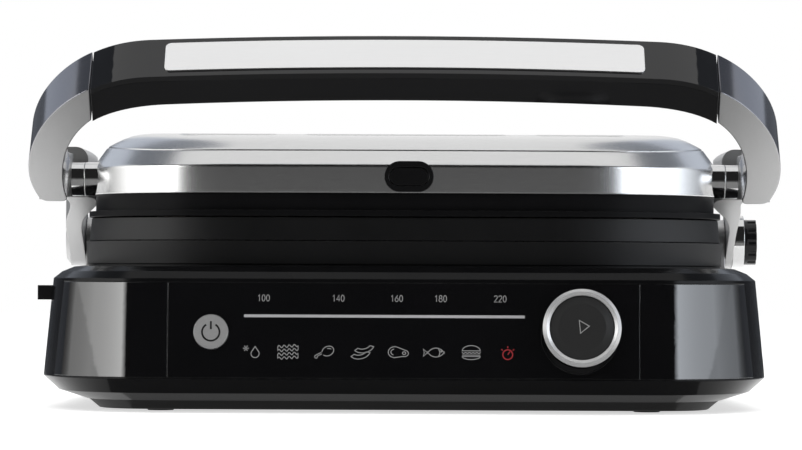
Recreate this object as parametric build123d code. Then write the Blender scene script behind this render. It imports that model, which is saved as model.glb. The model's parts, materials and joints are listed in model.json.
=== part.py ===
"""Electric contact grill: tilted control base, floating lid on two swing arms, U handle.
Frame: X to the right, Y to the rear, Z up, origin on the table under the middle. Millimetres."""

import os
from math import atan, cos, degrees, radians, sin

from build123d import *

# ---------------------------------------------------------------- driving dimensions
running_gap = 0.05          # radial play of a turning pin in its bush

origin_shift = 9.7          # moves the finished model to the rear, so that the origin is under its middle

# base
base_half = 185.5           # half width at the belt, the widest level
base_half_top = 180.5
base_front = -152.0         # front of the belt
base_front_top = -145.0
base_rear = 146.0
base_rear_top = 144.5
belt_low = 16.5             # level where the front starts to lean back
belt_high = 66.0            # level where the shoulder starts
deck_top = 73.0
base_wall = 2.8
panel_thickness = 2.4
seam_x = 116.0              # seam between control fascia and cheek panels
cheek_end_y = -102.0        # how far the cheek panels reach round the corners
lean = degrees(atan((base_front_top - base_front) / (belt_high - belt_low)))
plinth_low = 1.0
plinth_top = 5.5
rail_end_y = 112.0
foot_radius = 9.0
foot_places = [(-122, -102), (122, -102), (-122, 96), (122, 96)]

# hinge, arms and pivots
hinge_y = 130.0
hinge_z = 87.7
hinge_pin_radius = 4.0
eye_inner_x = 178.0
eye_outer_x = 186.5
right_eye_outer_x = 182.0
tower_inner_x = 166.0
tower_outer_x = 177.6
tower_radius = 12.5
pivot_y = -54.0
pivot_z = 117.0
pivot_radius = 8.6          # collar and sleeve
pivot_shaft_radius = 4.0
arm_front_y = -40.0
arm_round = 6.5             # upper inner edge of the arm, beside the lid

# plates and lid
plate_half = 160.0
plate_front = -120.0
plate_rear = 108.0
front_corner = 84.0         # the plates, the well and the lid share these corners, as parallel outlines
rear_corner = 30.0
parting_z = 85.2            # level where the two plates meet
lower_plate_bottom = 73.4
upper_plate_top = 96.8
rib_count = 27
rib_pitch = 11.2
rib_height = 4.0
lid_half = 157.5
lid_front = -121.0
lid_rear = 110.0
lid_bottom = 109.0
chamfer_low = 125.2
chamfer_high = 133.2
lid_top = 143.4
lid_bow = 2.5               # how far the middle of the lid front stands ahead of its ends
skirt_bottom = 97.4
sheet = 1.6                 # wall of the steel cover

# handle
handle_tilt = radians(46)   # plane of the U handle above the table
handle_y = -165.0           # foremost edge of the bar
handle_z = 166.3
handle_width = 28.0         # across the U plane
bar_seam_x = 153.8
bracket_bottom_z = 101.5
inlay_half = 117.5
inlay_height = 20.5

# controls on the leaning fascia, X and Z of their centres
power_place = (-94.6, 39.8)
knob_place = (87.0, 40.6)
light_place = (-9.5, 47.8)
light_length = 137.8
light_height = 1.4
knob_radius = 19.2
knob_height = 17.5


# ---------------------------------------------------------------- small helpers
def block(x, y, z):
    """Box between the two values given for each axis."""
    middle = [(a + b) / 2 for a, b in (x, y, z)]
    size = [abs(b - a) for a, b in (x, y, z)]
    return Pos(*middle) * Box(*size)


def rod_x(x0, x1, y, z, radius):
    """Round bar along X."""
    return Pos((x0 + x1) / 2, y, z) * Rot(0, 90, 0) * Cylinder(radius, abs(x1 - x0))


def rod_y(y0, y1, x, z, radius):
    """Round bar along Y."""
    return Pos(x, (y0 + y1) / 2, z) * Rot(90, 0, 0) * Cylinder(radius, abs(y1 - y0))


def rod_z(z0, z1, x, y, radius):
    """Round bar along Z."""
    return Pos(x, y, (z0 + z1) / 2) * Cylinder(radius, abs(z1 - z0))


def both_sides(shape):
    """The shape and its mirror image across the middle plane."""
    return shape + mirror(shape, about=Plane.YZ)


def plan(half, front, rear, bow=0.0):
    """Outline seen from above with large front and small rear corners, parallel to that of the plates."""
    inset = plate_half - half
    corner = rear_corner - inset if inset < 20 else 10
    turn = cos(radians(45))
    deep = front_corner - inset
    x_front, y_front = half - deep, front + deep
    x_rear, y_rear = half - corner, rear - corner
    right = [
        ThreePointArc((x_front, front), (x_front + deep * turn, y_front - deep * turn), (half, y_front)),
        Line((half, y_front), (half, y_rear)),
        ThreePointArc((half, y_rear), (x_rear + corner * turn, y_rear + corner * turn), (x_rear, rear)),
    ]
    left = [mirror(edge, about=Plane.YZ) for edge in right]
    nose = Line((-x_front, front), (x_front, front))
    if bow:
        nose = ThreePointArc((-x_front, front), (0, front - bow), (x_front, front))
    return make_face([nose, *right, Line((x_rear, rear), (-x_rear, rear)), *left])


def slab(half, front, rear, z0, z1):
    """Upright slab on the shared plan."""
    return extrude(Pos(0, 0, z0) * plan(half, front, rear), z1 - z0)


def side_profile(edges, x0, x1):
    """Closed outline in the YZ plane, extruded from x0 to x1."""
    face = Plane.YZ * make_face(edges)
    return Pos(x0, 0, 0) * extrude(face, x1 - x0, dir=(1, 0, 0))


def group(*pieces):
    """Separate solids kept together in one node."""
    return Compound([solid for piece in pieces for solid in piece.solids()])


# ---------------------------------------------------------------- base shell
def base_plan(level, inset=0.0):
    """Outline of the base at a level: straight front, deep round corners, slightly bowed sides."""
    rise = (min(max(level, belt_low), belt_high) - belt_low) / (belt_high - belt_low)
    half = base_half + rise * (base_half_top - base_half) - inset
    front = base_front + rise * (base_front_top - base_front) + inset
    rear = base_rear + rise * (base_rear_top - base_rear) - inset
    widest = -42.0
    rear_half = half - 2.2
    corner = 12.0
    depth = widest - front
    right = [
        Bezier((seam_x, front), (seam_x + 40, front), (half, widest - 0.60 * depth), (half, widest)),
        ThreePointArc((half, widest), (half - 0.9, 50), (rear_half, rear - corner)),
        Bezier((rear_half, rear - corner), (rear_half - 0.3, rear - 4), (rear_half - 7, rear),
               (rear_half - corner - 2, rear)),
    ]
    back = Line((rear_half - corner - 2, rear), (-(rear_half - corner - 2), rear))
    left = [
        Bezier((-(rear_half - corner - 2), rear), (-(rear_half - 7), rear), (-(rear_half - 0.3), rear - 4),
               (-rear_half, rear - corner)),
        ThreePointArc((-rear_half, rear - corner), (-(half - 0.9), 50), (-half, widest)),
        Bezier((-half, widest), (-half, widest - 0.60 * depth), (-(seam_x + 40), front), (-seam_x, front)),
    ]
    face = make_face([Line((-seam_x, front), (seam_x, front)), *right, back, *left])
    return Pos(0, 0, level) * face


def base_form(levels):
    """Ruled body through (level, inset) outlines of the base."""
    return loft([base_plan(level, inset) for level, inset in levels], ruled=True)


def front_band(inset, low, high):
    """Body inside the leaning belt of the base between two levels."""
    return base_form([(low, inset), (high, inset)])


panel_low = belt_low + 0.8
panel_high = belt_high - 1.8
front_zone = block((-200, 200), (-170, cheek_end_y), (0, 90))
well_half = plate_half - 8
well_front = plate_front + 8
well_rear = plate_rear - 20
tray_half = 75.0
tray_low = 17.6
tray_high = 31.0
spout_y = (97.0, 101.5)
rear_slot = block((-tray_half - 5.5, tray_half + 5.5), (120, 155), (tray_low - 0.5, tray_high + 1.2))


def tower_outline():
    """Upright lug with a round head about the hinge axis and a bevel that follows the corner of the housing."""
    radius = tower_radius
    foot_z = 44.0
    edges = [
        Line((hinge_y + radius, hinge_z), (hinge_y + radius, foot_z)),
        Line((hinge_y + radius, foot_z), (hinge_y - radius, foot_z)),
        Line((hinge_y - radius, foot_z), (hinge_y - radius, hinge_z)),
        ThreePointArc((hinge_y - radius, hinge_z), (hinge_y, hinge_z + radius), (hinge_y + radius, hinge_z)),
    ]
    lug = side_profile(edges, tower_inner_x, tower_outer_x)
    bevel = 7.5
    cutter = Pos(tower_outer_x, hinge_y + radius, 70) * Rot(0, 0, 45) * Box(bevel * 1.4142, bevel * 1.4142, 80)
    return lug - cutter


def make_housing():
    """Upper shell of the base with its deck, plate well and openings."""
    outer = base_form([(5.5, 22), (9.5, 8), (belt_low, 0), (belt_high, 0), (69.5, 4.5), (72.0, 11), (deck_top, 20)])
    side_wall = front_band(base_wall, 17, 65) - block((-200, 200), (-170, cheek_end_y + 3), (0, 90))
    front_wall = front_band(base_wall + panel_thickness, 17, 65)
    bottom_mouth = extrude(base_plan(5.4, 25.5), 12)
    under_deck = extrude(base_plan(belt_high, 14), -1.5) + extrude(base_plan(belt_high, 14), 4.0)
    hollow = side_wall + front_wall + bottom_mouth + under_deck
    shell = outer - hollow
    pocket = front_band(-1.0, panel_low, panel_high) - front_band(panel_thickness, panel_low - 1, panel_high + 1)
    shell -= pocket & front_zone
    shell -= slab(well_half, well_front, well_rear, 60, 80)
    shell -= block((-20, 20), (well_rear - 5, spout_y[1] + 2.5), (60, 80))
    shell -= rear_slot
    shell -= rod_y(130, 155, gland_x, gland_z, 7.0)
    shell -= both_sides(tower_outline())
    shell -= on_fascia(*power_place) * Cylinder(power_radius + 0.8, 20)
    shell -= on_fascia(*knob_place) * Cylinder(6.0, 20)
    shell -= release_window(-200, -170)
    for y in screw_rows:
        boss = rod_z(cover_floor, 40, screw_x, y, 4.0) + block((screw_x, 182), (y - 1, y + 1), (14, 40))
        shell += both_sides(boss & outer) - both_sides(rod_z(5, 24, screw_x, y, 1.6))
    return shell


gland_x = 120.0
gland_z = 28.0
cover_floor = 8.6           # upper face of the bottom cover
screw_x = 146.0
screw_rows = (-62, 98)
release_y = (-52.0, -28.0)
release_z = (54.9, 62.3)


def release_window(x0, x1, grow=0.3):
    """Opening that the side button slides in."""
    return block((x0, x1), (release_y[0] - grow, release_y[1] + grow), (release_z[0] - grow, release_z[1] + grow))


def panel_skin():
    """Thin leaning skin that the fascia and the cheeks are cut from."""
    edge = 0.15
    return (front_band(0, panel_low + edge, panel_high - edge)
            - front_band(panel_thickness, panel_low - 1, panel_high + 1))


def make_fascia():
    """Flat control panel with holes for the controls and the light bar."""
    panel = panel_skin() & block((-seam_x + 0.15, seam_x - 0.15), (-170, -100), (0, 90))
    power_hole = on_fascia(*power_place) * Cylinder(power_radius + 0.3, 12)
    knob_hole = on_fascia(*knob_place) * Cylinder(4.6, 12)
    return panel - power_hole - knob_hole - light_slot()


def make_cheek(side):
    """Glossy panel that wraps one front corner."""
    reach = block((seam_x + 0.15, 200), (-170, cheek_end_y - 0.15), (0, 90))
    zone = reach if side > 0 else mirror(reach, about=Plane.YZ)
    return panel_skin() & zone


power_radius = 8.5


def fascia_y(z):
    """Front surface of the leaning fascia at a height."""
    return base_front + (z - belt_low) * (base_front_top - base_front) / (belt_high - belt_low)


def on_fascia(x, z):
    """Place on the fascia with local Z pointing out of it and local Y up the slope."""
    slope = radians(lean)
    return Plane(origin=(x, fascia_y(z), z), x_dir=(1, 0, 0), z_dir=(0, -cos(slope), sin(slope))).location


def light_slot():
    """Space of the light bar, cut right through the fascia."""
    return on_fascia(*light_place) * Pos(0, 0, -1.2) * Box(light_length, light_height, panel_thickness + 0.6)


def make_light_bar():
    """Light guide: the visible strip and its foot on the rear of the fascia."""
    depth = panel_thickness - 0.1
    return on_fascia(*light_place) * Pos(0, 0, -depth / 2) * Box(light_length, light_height, depth)


def make_bottom_cover():
    """Pan that closes the base from below, with the plinth rim, vents, tray rails and foot seats."""
    floor = extrude(base_plan(plinth_top, 25.8), cover_floor - plinth_top)
    rim = base_form([(plinth_low, 30.0), (plinth_top, 23.5)]) - extrude(base_plan(plinth_low - 1, 33.0), plinth_top)
    cover = floor + rim
    for x, y in foot_places:
        cover += rod_z(3.2, 7, x, y, foot_radius + 2)
        cover -= rod_z(0, 5.0, x, y, foot_radius - 1.5)
        cover -= rod_z(0, 10, x, y, 2.0)
    for row in range(7):
        cover -= both_sides(block((22, 86), (-70 + 10 * row, -66 + 10 * row), (0, 12)))
    for y in screw_rows:
        cover -= both_sides(rod_z(0, 10, screw_x, y, 1.6) + rod_z(0, 6.8, screw_x, y, 3.3))
    rail = block((tray_half + 0.5, tray_half + 3), (30, rail_end_y), (cover_floor, 22))
    ledge = block((tray_half - 8, tray_half + 3), (30, rail_end_y), (tray_low - 2.6, tray_low - 0.3))
    return cover + both_sides(rail + ledge)


def make_feet():
    """Four rubber feet, each a cone with a stem pressed into the cover."""
    feet = []
    for x, y in foot_places:
        foot = Pos(x, y, 2.5) * Cone(foot_radius - 2.5, foot_radius - 1.5, 5.0)
        feet.append(foot + rod_z(5.0, cover_floor, x, y, 2.0))
    return group(*feet)


def make_housing_screws():
    """Screws that join bottom cover and housing."""
    places = [(x, y) for x in (-screw_x, screw_x) for y in screw_rows]
    return group(*[rod_z(5.0, 6.8, x, y, 3.2) + rod_z(6.8, 22, x, y, 1.6) for x, y in places])


# ---------------------------------------------------------------- base inside
def pan(half, front, rear, floor_z, lip_z, wall, lip_width, step):
    """Pressed sheet pan with an outward lip; step is +1 for an upright pan, -1 for an inverted one."""
    low, high = sorted((floor_z, lip_z))
    body = slab(half, front, rear, low, high)
    if step > 0:
        inside = slab(half - wall, front + wall, rear - wall, low + wall, high + 1)
        lip = slab(half + lip_width, front - lip_width, rear + lip_width, high - wall, high)
    else:
        inside = slab(half - wall, front + wall, rear - wall, low - 1, high - wall)
        lip = slab(half + lip_width, front - lip_width, rear + lip_width, low, low + wall)
    return body + lip - inside


reflector_half = well_half - 6
reflector_front = well_front + 6
reflector_rear = well_rear - 4
lower_reflector_floor = 51.0
element_radius = 3.25
element_drop = 0.3
plate_floor = 4.2
lower_floor_top = parting_z - 0.15 - rib_height - 0.8
lower_element_z = lower_floor_top - plate_floor - element_drop - element_radius
upper_floor_low = parting_z + 0.15 + rib_height + 0.8
upper_element_z = upper_floor_low + plate_floor + element_drop + element_radius
post_places = [(-96, -30), (96, -30), (-96, 52), (96, 52)]
terminal_x = 20.0


def element(z, terminal_z):
    """Tubular heating element: one loop per side with a middle bridge, both ends turned to the terminals."""
    points = [
        (-terminal_x, 62, terminal_z), (-terminal_x, 62, z), (-124, 62, z), (-124, -84, z), (-58, -84, z),
        (-58, 30, z), (58, 30, z), (58, -84, z), (124, -84, z), (124, 62, z), (terminal_x, 62, z),
        (terminal_x, 62, terminal_z),
    ]
    corners = [8] + [22] * 8 + [8]
    path = FilletPolyline(*points, radius=corners)
    start = Plane(origin=points[0], z_dir=(0, 0, z - terminal_z))
    return sweep(start * RegularPolygon(element_radius, 6), path=path)


def make_lower_reflector():
    """Pan under the lower element, with holes for element ends, sensor and release hook."""
    shape = pan(reflector_half, reflector_front, reflector_rear, lower_reflector_floor, 70.0, 1.2, 8, 1)
    for side in (-1, 1):
        shape -= rod_z(40, 60, side * terminal_x, 62, element_radius + 1)
    shape -= rod_z(40, 60, 0, -24, 4.0)
    shape -= block((-reflector_half - 2, -reflector_half + 3), (release_y[0] + 5, release_y[1] - 5), (54, 66))
    return shape


def element_clips(z, base_z):
    """Bent strips that hold the element legs on the reflector pan."""
    step = 1 if z > base_z else -1
    clips = []
    for x in (-124, -58, 58, 124):
        clip = block((x - 6, x + 6), (-32, -24), (base_z, z - step * element_radius))
        window = (base_z + step * 1.2, z - step * (element_radius + 1.2))
        clips.append(clip - block((x - 4.5, x + 4.5), (-33, -23), window))
    return group(*clips)


def make_sensor(x, y, plate_z, base_z):
    """Spring-loaded temperature sensor: flanged can against the plate and its stem."""
    step = 1 if plate_z > base_z else -1
    head = rod_z(plate_z, plate_z - step * 5, x, y, 6)
    return head + rod_z(plate_z - step * 5, base_z - step * 6, x, y, 3.6)


def make_chute():
    """Drip chute from the plate spout down to the tray."""
    outer = block((-19.5, 19.5), (spout_y[0] - 3.5, spout_y[1] + 4.5), (tray_high + 1.5, 68))
    return outer - block((-18, 18), (spout_y[0] - 2, spout_y[1] + 3), (tray_high, 70))


def make_tray():
    """Drip tray with a front plate and a grip edge, open at the top."""
    face_y = base_rear - 0.4
    wall = 1.8
    body = block((-tray_half, tray_half), (52, face_y - 3.5), (tray_low, tray_high - 4))
    inner_half = tray_half - wall
    body -= block((-inner_half, inner_half), (52 + wall, face_y - 3.5 - wall), (tray_low + wall, tray_high))
    plate = block((-tray_half - 5, tray_half + 5), (face_y - 3.5, face_y), (tray_low, tray_high + 0.7))
    grip = block((-24, 24), (face_y, face_y + 3.4), (tray_high - 2.3, tray_high + 0.7))
    return body + plate + grip


def make_terminal_block():
    """Mains terminal block on the bottom cover, behind the cord gland."""
    body = block((92, 112), (88, 112), (cover_floor, 22))
    for y in (92, 97, 102, 107):
        body -= rod_z(15, 23, 102, y, 1.8)
    return body


def make_thermal_fuse():
    """Thermal fuse strapped under the lower reflector pan."""
    return rod_x(-46, -34, -60, lower_reflector_floor - 3, 3.0)


def make_tower(side):
    """Hinge lug with the seat of its bush."""
    lug = tower_outline() - rod_x(160, 180, hinge_y, hinge_z, hinge_pin_radius + 1.5)
    return lug if side > 0 else mirror(lug, about=Plane.YZ)


def make_bush(side):
    """Flanged hinge bush pressed into the lug."""
    bush = rod_x(tower_inner_x - 1.2, tower_outer_x, hinge_y, hinge_z, hinge_pin_radius + 1.5)
    bush += rod_x(tower_inner_x - 1.2, tower_inner_x, hinge_y, hinge_z, hinge_pin_radius + 4)
    bush -= rod_x(150, 190, hinge_y, hinge_z, hinge_pin_radius + running_gap)
    return bush if side > 0 else mirror(bush, about=Plane.YZ)


def make_gland():
    """Cord bushing in the rear wall, with its flange and nut."""
    gland = rod_y(base_rear - 6, base_rear, gland_x, gland_z, 7.0)
    gland += rod_y(base_rear, base_rear + 2.3, gland_x, gland_z, 10.0)
    gland += rod_y(base_rear - 9, base_rear - 3.5, gland_x, gland_z, 9.5)
    return gland - rod_y(base_rear - 12, base_rear + 4, gland_x, gland_z, 3.6)


# ---------------------------------------------------------------- plates
def plate_rim(half, front, rear, low, high, draft):
    """Cast rim on the shared plan, wider by the draft at its upper end."""
    lower = Pos(0, 0, low) * plan(half - draft, front + draft, rear - draft)
    upper = Pos(0, 0, high) * plan(half, front, rear)
    return loft([lower, upper], ruled=True)


def ribs(floor_z, tip_z, y0, y1):
    """Row of tapered sear ribs running front to rear."""
    step = 1 if tip_z > floor_z else -1
    section = [(-2.4, 0), (2.4, 0), (1.5, step * abs(tip_z - floor_z)), (-1.5, step * abs(tip_z - floor_z))]
    across = Plane(origin=(0, y0, floor_z), x_dir=(1, 0, 0), z_dir=(0, -1, 0))
    rib = extrude(across * make_face(Polyline(*section, close=True)), y1 - y0, dir=(0, 1, 0))
    shift = (rib_count - 1) / 2
    return [Pos((index - shift) * rib_pitch, 0, 0) * rib for index in range(rib_count)]


def make_lower_plate():
    """Lower grill plate: rim, ribbed floor, grease channel, drain spout, posts and rear tongues."""
    face_z = parting_z - 0.15
    rim = plate_rim(plate_half, plate_front, plate_rear, lower_plate_bottom, face_z, 0.8)
    rim -= slab(plate_half - 6, plate_front + 6, plate_rear - 6, lower_floor_top, 99)
    under = slab(plate_half - 6, plate_front + 6, plate_rear - 14, 70, lower_floor_top - plate_floor)
    plate = rim - under
    ring = slab(well_half - 1.5, well_front + 1.5, well_rear - 1.5, 71, lower_floor_top - 1)
    plate += ring - slab(well_half - 4, well_front + 4, well_rear - 4, 60, 90)
    field = slab(plate_half - 11, plate_front + 11, plate_rear - 11, lower_floor_top - 1, parting_z)
    for bar in ribs(lower_floor_top - 0.2, lower_floor_top + rib_height, plate_front + 12, 88):
        plate += bar & field
    plate += block((-17, 17), (spout_y[0] - 1.5, spout_y[1] + 1.5), (66, lower_floor_top - 1))
    plate -= block((-14, 14), spout_y, (60, lower_floor_top + 1))
    for x, y in post_places:
        plate += rod_z(lower_reflector_floor + 1.2, lower_floor_top - 1, x, y, 3.2)
    tab = block((-hook_x - 4, -hook_x - 1), (release_y[0] + 7, release_y[1] - 7), (58.4, lower_floor_top - 1))
    tab -= block((-hook_x - 6, -hook_x), (release_y[0] + 8.5, release_y[1] - 8.5), (60, 64))
    return plate + both_sides(tab)


hook_x = 136.0              # inner side hooks of the lower plate, at rest


def make_upper_plate():
    """Upper grill plate: the mirror of the lower one without spout, with its hook tab."""
    face_z = parting_z + 0.15
    outline = plate_rim(plate_half - 1.5, plate_front + 1, plate_rear - 1, -upper_plate_top, -face_z, 1.0)
    rim = mirror(outline, about=Plane.XY)
    rim -= slab(plate_half - 7.5, plate_front + 7, plate_rear - 7, 80, upper_floor_low)
    rim -= slab(plate_half - 7.5, plate_front + 7, plate_rear - 7, upper_floor_low + plate_floor, 99)
    plate = rim
    field = slab(plate_half - 11, plate_front + 11, plate_rear - 11, parting_z, upper_floor_low + 1)
    for bar in ribs(upper_floor_low + 0.2, upper_floor_low - rib_height, plate_front + 12, 96):
        plate += bar & field
    for x, y in post_places:
        plate += rod_z(upper_floor_low + 1, upper_reflector_top - 1.2, x, y, 3.2)
    for y in (hook_y, rear_hook_y):
        tab = block((button_x - 7, button_x + 7), (y - 3.3, y - 0.3), (upper_floor_low + 1, 113))
        plate += tab - block((button_x - 4, button_x + 4), (y - 5, y + 1), (104.5, 108.5))
    return plate


hook_y = -103.7             # front hook of the upper plate, at rest
rear_hook_y = 87.7          # fixed catch at the rear of the upper plate


button_x = 2.3              # the oval button sits slightly right of the middle
button_z = 117.2
upper_reflector_top = 124.0


# ---------------------------------------------------------------- lid
def lid_outline(level, inset):
    """Bowed plan of the lid at a level."""
    return Pos(0, 0, level) * plan(lid_half - inset, lid_front + lid_bow + inset, lid_rear - inset, lid_bow)


def lid_form(wall):
    """Closed body of the lid, inside its sheet by the wall: upright band, chamfer and crowned shoulder."""
    band = [(lid_bottom - wall, 0), (chamfer_low - wall / 2, 0)]
    chamfer = [(chamfer_low - wall / 2, 0), (chamfer_high - wall * 0.8, 9.0)]
    shoulder = [(chamfer_high - wall * 0.8, 9.0), (139.6 - wall, 18), (142.6 - wall, 29), (lid_top - wall, 42)]
    parts = [loft([lid_outline(z, inset + wall) for z, inset in levels], ruled=levels is not shoulder)
             for levels in (band, chamfer, shoulder)]
    return parts[0] + parts[1] + parts[2]


def raised_fields():
    """Three shallow raised fields side by side on top of the lid."""
    fields = []
    for x0, x1 in ((-116, -64), (-52, 53), (65, 113)):
        outline = Pos((x0 + x1) / 2, -5, lid_top - 1.0) * RectangleRounded(x1 - x0, 132, 10)
        fields.append(extrude(outline, 1.8))
    return fields


def make_lid_cover():
    """Drawn steel cover with three raised fields, button window and pivot holes."""
    cover = lid_form(0)
    for field in raised_fields():
        cover += field
    cover -= lid_form(sheet)
    cover -= on_lid_front(bezel_size[0] - 3, bezel_size[1] - 3, -8, 8)
    return cover - both_sides(rod_x(145, 165, pivot_y, pivot_z, 5.9))


bezel_size = (24.5, 15.4)
oval_size = (19.4, 8.7)


def on_lid_front(width, height, y0, y1):
    """Stadium-shaped prism at the oval button, from y0 to y1 behind the lid front."""
    face = Plane(origin=(button_x, lid_front + y0, button_z), x_dir=(1, 0, 0), z_dir=(0, -1, 0)) * (
        SlotOverall(width, height))
    return extrude(face, y1 - y0, dir=(0, 1, 0))


def make_bezel():
    """Black surround of the oval button with its sleeve through the cover."""
    rim = on_lid_front(*bezel_size, -1.2, 0.0)
    sleeve = on_lid_front(bezel_size[0] - 3, bezel_size[1] - 3, -1.2, 9)
    return rim + sleeve - on_lid_front(oval_size[0] + 0.7, oval_size[1] + 0.7, -3, 12)


def make_skirt():
    """Black frame of the lid between cover and upper plate, with a lip at its lower edge."""
    outer = slab(lid_half - 2.0, lid_front + 4.6, lid_rear - 2.2, skirt_bottom, lid_bottom)
    lip = slab(lid_half + 1.2, lid_front + 1.4, lid_rear - 1.0, skirt_bottom, skirt_bottom + 3)
    seat = slab(lid_half - 2.2, lid_front + 4.8, lid_rear - 2.4, lid_bottom, lid_bottom + 1.7)
    opening = slab(lid_half - 9, lid_front + 11.4, lid_rear - 9, 90, 120)
    return outer + lip + seat - opening - both_sides(rod_x(140, 157, pivot_y, pivot_z, 9.0))


def make_upper_reflector():
    """Inverted pan over the upper element."""
    half, front, rear = lid_half - 16, lid_front + 23, lid_rear - 13
    shape = pan(half, front, rear, upper_reflector_top, 102.0, 1.2, 0, -1)
    lip = slab(lid_half - 9, lid_front + 11.4, lid_rear - 9, 102.0, 103.2)
    shape += lip - slab(half - 1.2, front + 1.2, rear - 1.2, 90, 120)
    for side in (-1, 1):
        shape -= rod_z(115, 135, side * terminal_x, 62, element_radius + 1)
    shape -= rod_z(115, 135, 0, -24, 4.0)
    shape -= block((button_x - 9, button_x + 9), (hook_y - 5, hook_y + 8), (95, 119.5))
    return shape


# ---------------------------------------------------------------- arms, pivots and handle
def make_arm(side):
    """Cast swing arm: side outline cut with its plan outline, which steps outwards to the hinge."""
    outer_x = eye_outer_x if side < 0 else right_eye_outer_x
    profile = [
        Line((arm_front_y, 108), (arm_front_y, 134)),
        Spline((arm_front_y, 134), (20, 132.5), (85, 119), (hinge_y + 8.5, hinge_z + 11.6),
               tangents=[(1, 0), (1, -1.0)]),
        ThreePointArc((hinge_y + 8.5, hinge_z + 11.6), (hinge_y + 11.5, hinge_z - 8.7),
                      (hinge_y - 8.2, hinge_z - 11.8)),
        Spline((hinge_y - 8.2, hinge_z - 11.8), (78, 97), (20, 107), (arm_front_y, 108),
               tangents=[(-0.8, 0.6), (-1, 0)]),
    ]
    plan_inner = Spline((20, 164), (58, 171), (96, eye_inner_x), tangents=[(1, 0), (1, 0)])
    plan_outer = Spline((96, outer_x), (50, 181), (20, 179), tangents=[(-1, 0), (-1, 0)])
    plan = [
        Line((-60, 164), (20, 164)),
        plan_inner,
        Line((96, eye_inner_x), (160, eye_inner_x)),
        Line((160, eye_inner_x), (160, outer_x)),
        Line((160, outer_x), (96, outer_x)),
        plan_outer,
        Line((20, 179), (-60, 179)),
        Line((-60, 179), (-60, 164)),
    ]
    tall = extrude(Plane(origin=(0, 0, 60), x_dir=(0, 1, 0), z_dir=(0, 0, -1)) * make_face(plan), 90, dir=(0, 0, 1))
    arm = side_profile(profile, 160, 190) & tall
    arm -= block((163, 164 + arm_round), (-60, 70), (134 - arm_round, 135)) - rod_y(
        -61, 71, 164 + arm_round, 134 - arm_round, arm_round)
    arm -= rod_x(170, 195, hinge_y, hinge_z, hinge_pin_radius)
    for y in arm_screw_rows:
        arm -= rod_x(160, 182, y, 118, 2.0) + rod_x(160, 167, y, 118, 3.6)
    return arm if side > 0 else mirror(arm, about=Plane.YZ)


def handle_plane():
    """Plane of the U handle: local X across, local Y up and forward, local Z forward and down."""
    return Plane(origin=(0, handle_y, handle_z), x_dir=(1, 0, 0), z_dir=(0, -sin(handle_tilt), -cos(handle_tilt)))


def u_outline(trim=0.0):
    """Outline of the U band in its own plane, trimmed all round by a wall for its hollow."""
    right_outer = [
        Bezier((125, -5 - trim), (163 - trim, -8.1 - trim), (188 - trim, -40), (188 - trim, -92)),
        ThreePointArc((188 - trim, -92), (187.2 - trim, -108), (182.5 - trim, -126)),
    ]
    right_inner = [
        Line((182.5 - trim, -126), (168.5 + trim, -126)),
        Line((168.5 + trim, -126), (168.5 + trim, -66)),
        Bezier((168.5 + trim, -66), (168.5 + trim, -39), (147, -25.1 + trim), (117, -22.5 + trim)),
    ]
    crown = ThreePointArc((-125, -5 - trim), (0, -trim), (125, -5 - trim))
    hollow = ThreePointArc((117, -22.5 + trim), (0, -17.5 + trim), (-117, -22.5 + trim))
    left = [mirror(edge, about=Plane.YZ) for edge in right_outer + right_inner]
    return make_face([crown, hollow, *right_outer, *right_inner, *left])


def u_band(trim=0.0):
    """Solid U band of the handle, cut level at its lower ends."""
    face = handle_plane() * u_outline(trim)
    band = extrude(face, handle_width - 2 * trim, dir=(0, sin(handle_tilt), cos(handle_tilt)))
    band = Pos(0, trim * sin(handle_tilt), trim * cos(handle_tilt)) * band
    return band - block((-220, 220), (-250, 50), (0, bracket_bottom_z))


def make_bracket(side):
    """Cast bracket of the handle with its foot, which carries the pivot pin and the arm."""
    leg = u_band() - block((-bar_seam_x, 220), (-250, 50), (90, 220))
    tongue = u_band(2.5) & block((-bar_seam_x, -138), (-250, 50), (90, 220))
    foot = side_profile([
        Line((-96, bracket_bottom_z), (arm_front_y, bracket_bottom_z)),
        Line((arm_front_y, bracket_bottom_z), (arm_front_y, 130)),
        Line((arm_front_y, 130), (-70, 130)),
        Line((-70, 130), (-96, bracket_bottom_z)),
    ], -183, -172.5)
    lap = block((-183, -179), (arm_front_y, arm_front_y + 36), (108, 130))
    bracket = leg + tongue + foot + lap - handle_screw(-1)
    bracket -= rod_x(-181, -160, pivot_y, pivot_z, pivot_shaft_radius)
    for y in arm_screw_rows:
        bracket -= rod_x(-181.5, -170, y, 118, 2.0)
    return bracket if side < 0 else mirror(bracket, about=Plane.YZ)


arm_screw_rows = (arm_front_y + 10, arm_front_y + 26)


def make_arm_screws():
    """Screws that hold the arms to the laps of the brackets."""
    screws = [rod_x(167, 181.5, y, 118, 2.0) + rod_x(164.6, 167, y, 118, 3.6) for y in arm_screw_rows]
    return group(*screws, *[mirror(screw, about=Plane.YZ) for screw in screws])


def handle_screw(side):
    """Screw through the inner shell of the bar into the tongue of a bracket."""
    shank = handle_plane().location * Pos(side * 146, -23, -handle_width / 2) * Rot(90, 0, 0) * Cylinder(1.7, 10)
    head = handle_plane().location * Pos(side * 146, -29.2, -handle_width / 2) * Rot(90, 0, 0) * Cylinder(3.2, 3)
    return shank + head


def bar_layers():
    """Solid bar, its outer layer and the space inside it."""
    between = block((-bar_seam_x + 0.1, bar_seam_x - 0.1), (-250, 50), (90, 220))
    solid_bar = u_band() & between
    layer = Pos(0, 3.2 * cos(handle_tilt), -3.2 * sin(handle_tilt)) * u_band()
    return solid_bar, layer, u_band(2.2)


def make_bar_cap():
    """Outer shell of the grip bar with the recess of the inlay."""
    solid_bar, layer, hollow = bar_layers()
    return solid_bar - layer - hollow - inlay_form()


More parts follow.
